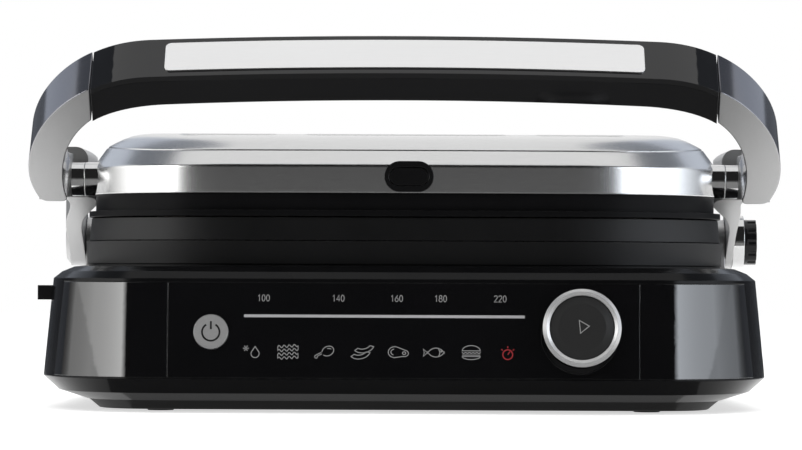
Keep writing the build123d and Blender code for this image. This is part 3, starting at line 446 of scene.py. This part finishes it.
def standIn(name, mesh, node, body):
    # a piece of this mesh in the place of a CAD node, with that node's finish
    piece = bpy.data.objects.new(name, mesh)
    scene.collection.objects.link(piece)
    if not mesh.materials:
        mesh.materials.append(nodes[node].material_slots[0].material)
    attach(piece, body)
    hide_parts(node)
    return piece


def reshaped(name, node, body, rule):
    # the node's own form with its points moved by a rule, in millimetres
    mesh = nodes[node].data.copy()
    for vertex in mesh.vertices:
        vertex.co = Vector(rule(*(vertex.co / mm))) * mm
    return standIn(name, mesh, node, body)


def solidMesh(name, verts, faces, angle=35):
    # faces turned outwards, smooth but for edges sharper than the angle
    mesh = bpy.data.meshes.new(name)
    mesh.from_pydata([Vector(v) * mm for v in verts], [], faces)
    shape = bmesh.new()
    shape.from_mesh(mesh)
    bmesh.ops.recalc_face_normals(shape, faces=shape.faces)
    shape.to_mesh(mesh)
    shape.free()
    mesh.shade_smooth()
    mesh.set_sharp_from_angle(angle=math.radians(angle))
    return mesh


def bezier(points, steps):
    # points of a cubic curve, without its last one
    curve = []
    for step in range(steps):
        t = step / steps
        weights = ((1 - t) ** 3, 3 * t * (1 - t) ** 2, 3 * t * t * (1 - t), t ** 3)
        curve.append(tuple(sum(w * point[axis] for w, point in zip(weights, points)) for axis in (0, 1)))
    return curve


barLook = {"rise": 1.65, "at": 117.0, "lean": 46.0}      # the bar's ends stand higher than in the CAD


def raiseEnds(x, y, z):
    lean = math.radians(barLook["lean"])
    rise = barLook["rise"] * (x / barLook["at"]) ** 2
    return x, y - rise * math.cos(lean), z + rise * math.sin(lean)


for node in ("handle_bar_cap", "handle_bar_channel", "handle_inlay", "handle_screws"):
    reshaped(node + "_risen", node, "arms", raiseEnds)

widenLook = {"from": 76.0, "half": 160.0, "more": 4.6, "above": (72.4, 73.2)}


def widen(x, y, z):
    # wider beyond the straight of the front, but not down in the well of the base
    low, high = widenLook["above"]
    share = min(max((z - low) / (high - low), 0.0), 1.0)
    beyond = max(abs(x) - widenLook["from"], 0.0) / (widenLook["half"] - widenLook["from"])
    return x + math.copysign(widenLook["more"] * beyond * share, x), y, z


for node, body in (("lower_grill_plate", "base"), ("upper_grill_plate", "lid"), ("lid_skirt", "lid")):
    reshaped(node + "_wide", node, body, widen)

bracketLook = {
    "origin": (-165.0, 166.3),      # Y and Z of the grip's front edge, where the handle's plane starts
    "lean": 46.0,
    "width": 28.0,
    "outline": [                    # curves in the plane of the handle, from the seam round the lower end
        ([(153.65, -11.75), (168.8, -20.0), (186.4, -40.0), (186.4, -66.0)], 22),
        ([(186.4, -66.0), (186.4, -73.0), (184.8, -78.0), (182.8, -82.6)], 8),
        ([(182.8, -82.6), (181.8, -85.2), (180.0, -86.3), (177.2, -86.3)], 6),
        ([(177.2, -86.3), (175.2, -86.3), (173.4, -86.3), (171.6, -86.3)], 2),
        ([(171.6, -86.3), (169.4, -86.3), (168.3, -85.6), (168.5, -83.4)], 5),
        ([(168.5, -83.4), (170.2, -76.0), (170.0, -66.0), (168.2, -57.5)], 8),
        ([(168.2, -57.5), (166.2, -47.5), (161.0, -38.5), (153.65, -32.0)], 14),
    ],
    "foot": [(-103.5, 105.2), (-95.0, 106.6), (-60.0, 107.6), (-42.0, 108.0), (-40.0, 110.0),
             (-40.0, 128.0), (-42.0, 130.0), (-72.0, 130.0), (-84.0, 123.0)],     # Y and Z
    "footSide": (170.8, 182.6),
    "lap": [(-41.0, 108.0), (-6.0, 108.0), (-4.0, 110.0), (-4.0, 128.0), (-6.0, 130.0), (-41.0, 130.0)],
    "lapSide": (179.0, 183.0),
    "edge": 0.35,
    "sharp": 30,                    # degrees
}


def roundedRect(x0, x1, y0, y1, radius, steps=6):
    # the same number of points for every size
    loop = []
    for cx, cy, start in ((x1 - radius, y1 - radius, 0), (x0 + radius, y1 - radius, 90),
                          (x0 + radius, y0 + radius, 180), (x1 - radius, y0 + radius, 270)):
        for step in range(steps + 1):
            turn = math.radians(start + 90 * step / steps)
            loop.append((cx + radius * math.cos(turn), cy + radius * math.sin(turn)))
    return loop


def prism(first, second):
    # verts and faces of a closed prism between two rings
    count = len(first)
    sides = [(i, (i + 1) % count, count + (i + 1) % count, count + i) for i in range(count)]
    return list(first) + list(second), sides + [tuple(range(count))[::-1], tuple(range(count, 2 * count))]


def withModifiers(piece):
    # the mesh that the modifiers give
    return bpy.data.meshes.new_from_object(piece.evaluated_get(bpy.context.evaluated_depsgraph_get()))


def bevelled(piece, width, segments=2, angle=40):
    # rounded edges, applied to the mesh
    modifier = piece.modifiers.new("edges", "BEVEL")
    modifier.width = width * mm
    modifier.segments = segments
    modifier.limit_method = "ANGLE"
    modifier.angle_limit = math.radians(angle)
    applied = withModifiers(piece)
    piece.modifiers.clear()
    piece.data = applied


def makeBracket(name, node, side, look):
    lean = math.radians(look["lean"])
    along = Vector((0, -math.cos(lean), math.sin(lean)))
    back = Vector((0, math.sin(lean), math.cos(lean))) * look["width"]
    start = Vector((0, *look["origin"]))
    outline = [point for points, steps in look["outline"] for point in bezier(points, steps)]
    outline.append(look["outline"][-1][0][-1])
    front = [start + Vector((side * x, 0, 0)) + along * y for x, y in outline]
    verts, faces = prism(front, [point + back for point in front])
    curveFaces = len(faces)
    for shape, sides in (("foot", "footSide"), ("lap", "lapSide")):
        rings = [[Vector((side * x, y, z)) for y, z in look[shape]] for x in look[sides]]
        moreVerts, moreFaces = prism(*rings)
        faces += [tuple(len(verts) + index for index in face) for face in moreFaces]
        verts += moreVerts
    mesh = solidMesh(name, verts, faces, look["sharp"])
    for finish in (bracketFinish, finishes["arm_casting"]):
        mesh.materials.append(finish)
    for polygon in mesh.polygons:
        polygon.material_index = int(polygon.index >= curveFaces)    # foot and lap look like the arm
    piece = standIn(name, mesh, node, "arms")
    bevelled(piece, look["edge"])
    piece.visible_glossy = False     # the lid would mirror it where the photograph shows the light


for node, side in (("handle_bracket_left", -1), ("handle_bracket_right", 1)):
    makeBracket(node + "_full", node, side, bracketLook)

lidLook = {
    "half": 161.8, "front": -108.8, "rear": 119.7, "bow": 2.5,
    "frontCorner": 83.0, "rearCorner": 28.0, "leastCorner": 4.0,
    "steps": (12, 22, 10),          # along half of the nose, a front corner and a rear corner
    "sheet": 1.6,
    "rings": [                      # height and inset: band, chamfer, crease and crowned top
        (109.0, 0), (109.6, 0), (121.8, 0), (122.4, 0), (123.0, 0.25), (123.4, 0.6), (124.0, 1.2), (129.4, 6.7),
        (130.0, 7.3), (130.2, 7.8), (129.9, 8.2), (130.8, 8.4), (131.1, 8.8), (131.8, 10.0), (133.2, 12.6),
        (134.8, 16.0), (136.3, 20.0), (137.3, 25.0), (137.8, 31.0), (137.9, 40.0)],
    "lift": 3.2, "liftSpan": (-104.0, -24.0), "liftFrom": 8,    # the top stands higher towards the back
    "fields": ((-116, -64), (-52, 53), (65, 113)),
    "fieldSpan": (-71.0, 61.0), "fieldCorner": 10.0,
    "fieldRings": ((0.0, -0.4), (1.0, 0.1), (1.6, 0.35), (2.2, 0.45), (3.4, 0.45)),
    "window": (-8.4, 13.1, 111.0, 123.4), "windowCorner": 6.0, "windowDepth": (-125, -95),
    "sharp": 28,                    # degrees
}


def lidPlan(look, inset):
    # bowed front, large front and small rear corners, always the same number of points
    half, front, rear = look["half"] - inset, look["front"] + inset, look["rear"] - inset
    deep, small = look["frontCorner"] - inset, max(look["rearCorner"] - inset, look["leastCorner"])
    noseSteps, frontSteps, rearSteps = look["steps"]
    flat = half - deep
    right = [(flat + deep * math.sin(turn), front + deep * (1 - math.cos(turn)))
             for turn in (math.radians(90 * step / frontSteps) for step in range(frontSteps + 1))]
    right += [(half - small * (1 - math.cos(turn)), rear - small * (1 - math.sin(turn)))
              for turn in (math.radians(90 * step / rearSteps) for step in range(rearSteps + 1))]
    nose = [(flat * step / noseSteps, front - look["bow"] * (1 - (step / noseSteps) ** 2))
            for step in range(1 - noseSteps, noseSteps)]
    return nose + right + [(-x, y) for x, y in right[::-1]]


def lidLift(look, y, inset):
    low, high = look["liftSpan"]
    share = min(max((y - low) / (high - low), 0.0), 1.0)
    return look["lift"] * share * share * (3 - 2 * share) * min(inset / look["liftFrom"], 1.0)


def makeLid(look):
    verts, faces = [], []
    for height, inset in look["rings"]:
        loop = lidPlan(look, inset)
        verts += [(x, y, height + lidLift(look, y, inset)) for x, y in loop]
    count = len(loop)
    for low in range(0, len(verts) - count, count):
        faces += [(low + i, low + (i + 1) % count, low + count + (i + 1) % count, low + count + i)
                  for i in range(count)]
    # the top is closed by strips from side to side, between the points that face each other
    top = list(range(len(verts) - count, len(verts)))
    noseCount = 2 * look["steps"][0] - 1
    half = (count - noseCount) // 2
    nose, right, left = top[:noseCount], top[noseCount:noseCount + half], top[noseCount + half:][::-1]
    faces.append(tuple([left[0]] + nose + [right[0]]))
    faces += [(left[i], right[i], right[i + 1], left[i + 1]) for i in range(half - 1)]
    shell = bpy.data.objects.new("lidShell", solidMesh("lidShell", verts, faces, 180))
    scene.collection.objects.link(shell)
    thick = shell.modifiers.new("sheet", "SOLIDIFY")
    thick.thickness, thick.offset = look["sheet"] * mm, -1
    outline = roundedRect(*look["window"], look["windowCorner"])
    hole = prism(*[[(x, y, z) for x, z in outline] for y in look["windowDepth"]])
    cutter = bpy.data.objects.new("windowCutter", solidMesh("windowCutter", *hole))
    scene.collection.objects.link(cutter)
    window = shell.modifiers.new("window", "BOOLEAN")
    window.operation, window.object, window.solver = "DIFFERENCE", cutter, "EXACT"
    applied = withModifiers(shell)
    for helper in (shell, cutter):
        bpy.data.objects.remove(helper)
    shape = bmesh.new()
    shape.from_mesh(applied)
    y0, y1 = look["fieldSpan"]
    for x0, x1 in look["fields"]:
        top = look["rings"][-1][0]
        rings = []
        for inset, rise in look["fieldRings"]:
            loop = roundedRect(x0 + inset, x1 - inset, y0 + inset, y1 - inset, look["fieldCorner"] - inset)
            heights = [top + rise + lidLift(look, y, look["liftFrom"]) for x, y in loop]
            rings.append([shape.verts.new(Vector((x, y, z)) * mm) for (x, y), z in zip(loop, heights)])
        for low, high in zip(rings, rings[1:]):
            for i in range(len(low)):
                after = (i + 1) % len(low)
                shape.faces.new((low[i], low[after], high[after], high[i]))
        bmesh.ops.triangulate(shape, faces=[shape.faces.new(rings[-1])])
    shape.to_mesh(applied)
    shape.free()
    applied.shade_smooth()
    applied.set_sharp_from_angle(angle=math.radians(look["sharp"]))
    applied.materials.clear()
    return standIn("lid_cover_creased", applied, "lid_cover", "lid")


makeLid(lidLook)


buttonLook = {"end": -180.0, "shorter": 1.7}        # the side button's end, beyond this X


def shortenEnd(x, y, z):
    return (x + buttonLook["shorter"] if x < buttonLook["end"] else x), y, z


reshaped("side_release_button_short", "side_release_button", "side_release", shortenEnd)
print("stand-ins ready")

# signs printed on the controls, in millimetres from the middle of each sign

signLook = {
    "lean": 8.05,           # degrees that the control panel leans back
    "stroke": 0.42,         # width of a printed line
    "numberStroke": 0.38,
    "dialStroke": 0.42 * 1.3,
    "powerStroke": 0.9,
    "startStroke": 0.5,
    "lift": 0.03,           # how far the print stands on the surface
    "depth": 0.1,           # how deep it reaches from its top
    "startDepth": 0.4,      # deeper on the crowned face of the knob
    "numberHeight": 3.1,
    "numberZ": 56.6,
    "numbers": {"100": -68.9, "140": -32.2, "160": -3.5, "180": 18.1, "220": 47.4},
    "foodZ": 30.2,
    "foodX": (-74.4, -56.7, -38.5, -20.5, -2.7, 15.3, 33.2, 51.1),
    "powerPlace": (-94.6, 39.8),
    "powerProud": 1.2,      # height of the power button's face over the panel
    "knobPlace": (87.0, 40.6),
    "knobProud": 17.5,      # height of the knob's face over the panel
}


def panelPoint(x, z, proud=0.0):
    # point over the leaning panel, x and z of the panel in millimetres
    low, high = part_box("control_fascia")
    lean = math.radians(signLook["lean"])
    y = low.y / mm + (z - low.z / mm) * math.tan(lean)
    return Vector((x, y - proud * math.cos(lean), z + proud * math.sin(lean)))


def arc(x, y, radiusX, radiusY, start, end, steps=14):
    turns = [math.radians(start + (end - start) * step / steps) for step in range(steps + 1)]
    return [(x + radiusX * math.cos(turn), y + radiusY * math.sin(turn)) for turn in turns]


def moved(points, x=0.0, y=0.0, turn=0.0, scale=1.0):
    c, s = math.cos(math.radians(turn)) * scale, math.sin(math.radians(turn)) * scale
    return [(x + px * c - py * s, y + px * s + py * c) for px, py in points]


def strokeSides(points, width, closed):
    # the two edges of a line of even width along the points
    count = len(points)
    left, right = [], []
    for index, (x, y) in enumerate(points):
        before = points[index - 1] if closed or index else points[0]
        after = points[(index + 1) % count] if closed or index < count - 1 else points[-1]
        first = Vector((x - before[0], y - before[1]))
        second = Vector((after[0] - x, after[1] - y))
        along = (first.normalized() if first.length else second.normalized()) + (
            second.normalized() if second.length else first.normalized())
        along.normalize()
        reach = width / 2
        if first.length and second.length:
            reach /= max(0.6, math.cos(first.angle(second) / 2))
        left.append((x - along.y * reach, y + along.x * reach))
        right.append((x + along.y * reach, y - along.x * reach))
    return left, right


def addSign(name, body, finish, origin, strokes, width, depth=signLook["depth"]):
    # closed flat strokes standing on the surface; a stroke is (points, closed)
    lean = math.radians(signLook["lean"])
    across, upward = Vector((1, 0, 0)), Vector((0, math.sin(lean), math.cos(lean)))
    outward = Vector((0, -math.cos(lean), math.sin(lean)))
    top = signLook["lift"]
    verts, faces = [], []
    for points, closed in strokes:
        left, right = strokeSides(points, width, closed)
        start, count = len(verts), len(points)
        for side, height in ((left, top), (right, top), (right, top - depth), (left, top - depth)):
            verts += [(origin + across * x + upward * y + outward * height) * mm for x, y in side]
        for index in range(count if closed else count - 1):
            after = (index + 1) % count
            for ring in range(4):
                low, high = start + ring * count, start + (ring + 1) % 4 * count
                faces.append((low + index, high + index, high + after, low + after))
        if not closed:
            faces.append([start + ring * count for ring in (3, 2, 1, 0)])
            faces.append([start + ring * count + count - 1 for ring in range(4)])
    sign = addMesh(name, verts, faces, body)
    sign.data.materials.append(finish)
    return sign


digitStrokes = {
    "0": [(arc(0, 5, 2.4, 5, 90, 450, 24)[:-1], True)],
    "1": [([(-1.4, 7.6), (0.6, 10), (0.6, 0)], False)],
    "2": [(arc(0, 7.5, 2.4, 2.5, 170, -35, 12) + [(-2.4, 0), (2.6, 0)], False)],
    "4": [([(2.8, 3), (-2.6, 3), (1.2, 10), (1.2, 0)], False)],
    "6": [(arc(0, 3, 2.5, 3, 90, 450, 20)[:-1], True), ([(1.6, 10), (-1.2, 6.2), (-2.35, 3.4)], False)],
    "8": [(arc(0, 2.75, 2.6, 2.75, 90, 450, 18)[:-1], True), (arc(0, 7.75, 2.1, 2.25, 90, 450, 18)[:-1], True)],
}


def numberStrokes(text, height):
    scale = height / 10
    pitch = 7.0         # from digit to digit, of digits that are 10 high
    strokes = []
    for index, digit in enumerate(text):
        shift = (index - (len(text) - 1) / 2) * pitch
        for points, closed in digitStrokes[digit]:
            placed = [(x + shift, y - 5) for x, y in points]
            strokes.append((moved(placed, scale=scale), closed))
    return strokes


def starAndDrop():
    drop = [(1.6, 2.6)] + arc(1.6, -0.9, 2.0, 2.0, 25, -205, 16)
    arms = [moved([(0.25, 0), (1.5, 0)], -2.9, 1.7, turn) for turn in range(0, 360, 60)]
    return [(drop, True)] + [(arm, False) for arm in arms]


def wavyStrips():
    strokes = []
    for level in (-1.9, 1.9):
        wave = [(-5.0 + 0.5 * step, 0.65 * math.sin(1.25 * step)) for step in range(21)]
        upper = moved(wave, 0, level + 0.95, 4)
        lower = moved(wave, 0, level - 0.95, 4)
        strokes.append((upper + lower[::-1], True))
    return strokes


def drumstick():
    meat = moved(arc(0, 0, 3.0, 2.3, 20, 340, 20), 1.4, 0.5, 205)
    knuckle = arc(-4.3, -2.3, 0.75, 0.75, -60, -250, 8)
    bone = [(-1.5, -0.9), (-3.6, -1.9)] + knuckle + [(-3.9, -1.2), (-1.8, -0.2)]
    shine = moved(arc(0, 0, 1.6, 1.1, 40, 120, 6), 1.8, 0.7)
    return [(meat, False), (bone, False), (shine, False)]


def twoSausages():
    strokes = []
    for shift in (-1.5, 1.5):
        outer = arc(0, 0, 5.2, 3.6, 205, 335, 14)
        inner = arc(0, 0, 3.3, 1.7, 335, 205, 14)
        body = moved(outer + inner, shift * 0.6, 1.8 + shift, 12)
        strokes.append((body, True))
    return strokes


def steakCut():
    outline = arc(-1.6, 0.1, 3.2, 2.7, 70, 290, 16) + arc(3.0, -0.5, 2.1, 1.6, 250, 440, 12)
    return [(outline, True), (arc(3.0, -0.4, 0.8, 0.7, 0, 360, 12)[:-1], True),
            (arc(-1.6, 0.1, 1.9, 1.5, 100, 250, 8), False)]


def smallFish():
    back = arc(0.6, -2.6, 4.6, 4.8, 25, 155, 14)
    belly = arc(0.6, 2.4, 4.6, 4.6, 205, 335, 14)
    tail = [(-3.6, -0.1), (-5.6, 1.7), (-5.1, -0.1), (-5.6, -1.9), (-3.6, -0.1)]
    gill = arc(1.6, -0.1, 0.9, 1.6, 80, -80, 8)
    return [(back + belly, True), (tail, False), (gill, False), (arc(3.2, 0.5, 0.3, 0.3, 0, 360, 8)[:-1], True)]


def filledBun():
    top = arc(0, 0.9, 4.4, 2.6, 0, 180, 16)
    bottom = arc(0, -1.9, 4.4, 1.5, 180, 360, 12)
    leaf = [(-4.6 + 0.46 * step, -0.15 + 0.3 * math.cos(1.57 * step)) for step in range(21)]
    return [(top, True), ([(-4.4, -1.2), (4.4, -1.2)], False), (leaf, False), (bottom, True)]


def smallDial():
    # stands for the setting by hand: a dial with its pointer and three marks
    ring = arc(0, -0.9, 2.4, 2.4, 0, 360, 24)[:-1]
    marks = [moved([(3.2, 0), (4.1, 0)], 0, -0.9, turn) for turn in (40, 90, 140)]
    return [(ring, True), ([(0, -0.9), (1.1, 0.6)], False)] + [(mark, False) for mark in marks]


def makeSigns(look):
    white = signFinishes["white"]
    for text, x in look["numbers"].items():
        addSign("number_" + text, "base", white, panelPoint(x, look["numberZ"]),
                numberStrokes(text, look["numberHeight"]), look["numberStroke"])
    foods = (starAndDrop, wavyStrips, drumstick, twoSausages, steakCut, smallFish, filledBun)
    for x, draw in zip(look["foodX"], foods):
        addSign("sign_" + draw.__name__, "base", white,
                panelPoint(x, look["foodZ"]), draw(), look["stroke"])
    addSign("sign_smallDial", "base", signFinishes["red"],
            panelPoint(look["foodX"][-1], look["foodZ"]), smallDial(), look["dialStroke"])
    ring = arc(0, -0.2, 4.3, 4.3, 122, 418, 36)
    addSign("sign_power", "power_button", signFinishes["black"],
            panelPoint(*look["powerPlace"], look["powerProud"]),
            [(ring, False), ([(0, 1.2), (0, 5.2)], False)], look["powerStroke"])
    triangle = [(-1.5, 3.4), (3.4, 0.6), (-0.9, -2.9)]
    addSign("sign_start", "start_button", white,
            panelPoint(*look["knobPlace"], look["knobProud"]), [(triangle, True)], look["startStroke"],
            depth=look["startDepth"])


makeSigns(signLook)
print("signs ready")

# stage and light

stageLook = {
    "floorHalf": 6.0,
    "floorColor": (0.86, 0.86, 0.86, 1),
    "floorLift": 0.62,        # brings the seen floor up to white
    "ambient": 0.55,          # what the sky gives to matt surfaces
}


def seenRay(tree):
    # 1 for rays from the camera, from gloss and through glass
    ray = addNode(tree, "ShaderNodeLightPath")
    seen = addMath(tree, "MAXIMUM", ray.outputs["Is Camera Ray"], ray.outputs["Is Glossy Ray"])
    return addMath(tree, "MAXIMUM", seen, ray.outputs["Is Transmission Ray"])


def emptyMaterial(name):
    material = bpy.data.materials.new(name)
    material.use_nodes = True
    material.node_tree.nodes.clear()
    return material, material.node_tree


def makeStage(look):
    half = look["floorHalf"]
    corners = [(-half, -half, 0), (half, -half, 0), (half, half, 0), (-half, half, 0)]
    floor = addMesh("floor", corners, [(0, 1, 2, 3)])
    material, tree = emptyMaterial("paleFloor")
    matt = addNode(tree, "ShaderNodeBsdfDiffuse", {"Color": look["floorColor"]})
    lift = addMath(tree, "MULTIPLY", seenRay(tree), look["floorLift"])
    glow = addNode(tree, "ShaderNodeEmission", {"Strength": lift})
    both = addNode(tree, "ShaderNodeAddShader", {0: matt.outputs[0], 1: glow.outputs[0]})
    addNode(tree, "ShaderNodeOutputMaterial", {"Surface": both.outputs[0]})
    floor.data.materials.append(material)


def makeWorld(look):
    world = bpy.data.worlds.new("paleRoom")
    scene.world = world
    world.use_nodes = True
    tree = world.node_tree
    tree.nodes.clear()
    strength = addRange(tree, seenRay(tree), 0.0, 1.0, look["ambient"], 1.0)
    sky = addNode(tree, "ShaderNodeBackground", {"Color": (1, 1, 1, 1), "Strength": strength})
    addNode(tree, "ShaderNodeOutputWorld", {"Surface": sky.outputs[0]})


lampLook = {"elevation": 84, "distance": 1.5, "height": 0.08, "size": (3.0, 1.3), "watts": 17}


def makeLamp(name, look):
    # a large soft lamp overhead, leaning a little to the front
    data = bpy.data.lights.new(name, "AREA")
    data.shape = "RECTANGLE"
    data.size, data.size_y = look["size"]
    data.energy = look["watts"]
    lamp = bpy.data.objects.new(name, data)
    lamp.visible_glossy = False      # gloss sees the white room overhead instead
    scene.collection.objects.link(lamp)
    tilt = math.radians(look["elevation"])
    away = Vector((0, -math.cos(tilt), math.sin(tilt)))
    lamp.location = away * look["distance"] + Vector((0, 0, look["height"]))
    lamp.rotation_euler = away.to_track_quat("Z", "Y").to_euler()


# screens and cards that only mirrors and gloss see; azimuths are counted from the front towards one side

whiteLight, coolLight = (1, 1, 1, 1), (0.88, 0.95, 1.08, 1)
screenLook = {
    "steps": 24,
    "height": 0.06,         # where elevations are counted from
    "front": [              # name, azimuths, elevations, radius, colour, strengths
        ("darkFront", (-51, 51), (-5, 74), 1.9, whiteLight, (0.02, 0.02)),
        ("frontGlow", (-49, 49), (-4, 6), 1.88, whiteLight, (0.10, 0.10)),
    ],
    "table": ((-51, 51), (0.10, 1.9), 0.0015, 0.28),    # azimuths, radii, height, strength
    "sideRadius": 1.3,
    "fade": 5,              # degrees over which the side lights start
    "sides": {              # side, azimuth where the light starts, its tint, strengths of the upper box
        "left": (-1, 50, (1.0, 1.0, 0.99, 1), (5.6, 2.5, 0.85)),
        "right": (1, 42, (0.88, 0.93, 1.0, 1), (5.0, 2.4, 0.50)),
    },
    "box": (90, (-5, 5), (2.4, 1.7)),                   # where it ends, elevations, strengths
    "highBox": (88, 116, (5, 28)),                      # its bend, where it ends, elevations
    "behind": [             # on both sides: name, azimuths, elevations, colour or the side's tint, strengths
        ("Tail", (90, 114), (-5, 5), None, (1.7, 0.7)),
        ("TailEnd", (114, 124), (-5, 5), None, (0.7, 0.1)),
        ("Shade", (124, 180), (-5, 8), coolLight, (0.08, 0.08)),
        ("SideShade", (116, 165), (5, 18), coolLight, (0.2, 0.15)),
        ("BackGlow", (116, 165), (18, 38), coolLight, (0.75, 0.7)),
        ("Flag", (60, 95), (28, 50), coolLight, (0.06, 0.08)),
        ("HighFlag", (95, 165), (38, 59), coolLight, (0.18, 0.30)),
    ],
}


def seenInGloss(name, verts, strength, color=whiteLight):
    # a glowing strip along pairs of points; strength is a function that gives it from the material's tree
    faces = [(low, low + 1, low + 3, low + 2) for low in range(0, len(verts) - 2, 2)]
    piece = addMesh(name, verts, faces)
    piece.visible_camera = False
    piece.visible_diffuse = False
    piece.visible_shadow = False
    material, tree = emptyMaterial(name + "Glow")
    glow = addNode(tree, "ShaderNodeEmission", {"Color": color, "Strength": strength(tree)})
    addNode(tree, "ShaderNodeOutputMaterial", {"Surface": glow.outputs[0]})
    piece.data.materials.append(material)


def turnsBetween(azimuths):
    first, last = (math.radians(azimuth) for azimuth in azimuths)
    steps = screenLook["steps"]
    return [first + (last - first) * step / steps for step in range(steps + 1)]


def makeScreen(name, azimuths, elevations, radius, color, strengths, side=1, fade=0.0):
    # a curved screen round the object; its strength runs from the first value to the second along it,
    # and the start may fade in over some degrees
    verts = []
    for turn in turnsBetween(azimuths):
        for elevation in elevations:
            height = screenLook["height"] + radius * math.tan(math.radians(elevation))
            verts.append((side * radius * math.sin(turn), -radius * math.cos(turn), height))

    def alongScreen(tree):
        place = addNode(tree, "ShaderNodeTexCoord").outputs["Object"]
        axes = addNode(tree, "ShaderNodeSeparateXYZ", {0: place})
        turn = addMath(tree, "ARCTAN2", addMath(tree, "MULTIPLY", axes.outputs["X"], float(side)),
                       addMath(tree, "MULTIPLY", axes.outputs["Y"], -1.0))
        start, end = (math.radians(azimuth) for azimuth in azimuths)
        first, last = strengths
        power = addMath(tree, "POWER", last / first, addRange(tree, turn, start, end))
        strength = addMath(tree, "MULTIPLY", first, power)
        if fade:
            rising = addRange(tree, turn, start, start + math.radians(fade))
            strength = addMath(tree, "MULTIPLY", strength, rising)
        return strength

    seenInGloss(name, verts, alongScreen, color)


def makeCard(name, azimuths, radii, height, strength):
    # a card on the table in front
    verts = [(radius * math.sin(turn), -radius * math.cos(turn), height)
             for turn in turnsBetween(azimuths) for radius in radii]
    seenInGloss(name, verts, lambda tree: strength)


def makeScreens(look):
    for screen in look["front"]:
        makeScreen(*screen)
    makeCard("darkTable", *look["table"])
    radius, fade = look["sideRadius"], look["fade"]
    boxEnd, low, strengths = look["box"]
    bend, highEnd, high = look["highBox"]
    for name, (side, start, tint, upper) in look["sides"].items():
        makeScreen(name + "Softbox", (start, boxEnd), low, radius, tint, strengths, side, fade)
        makeScreen(name + "HighSoftbox", (start, bend), high, radius, tint, upper[:2], side, fade)
        makeScreen(name + "OuterSoftbox", (bend, highEnd), high, radius, tint, upper[1:], side)
        for label, azimuths, elevations, color, glow in look["behind"]:
            makeScreen(name + label, azimuths, elevations, radius, color or tint, glow, side)


makeStage(stageLook)
makeWorld(stageLook)
makeLamp("topSoftbox", lampLook)
makeScreens(screenLook)
print("stage and lights ready")
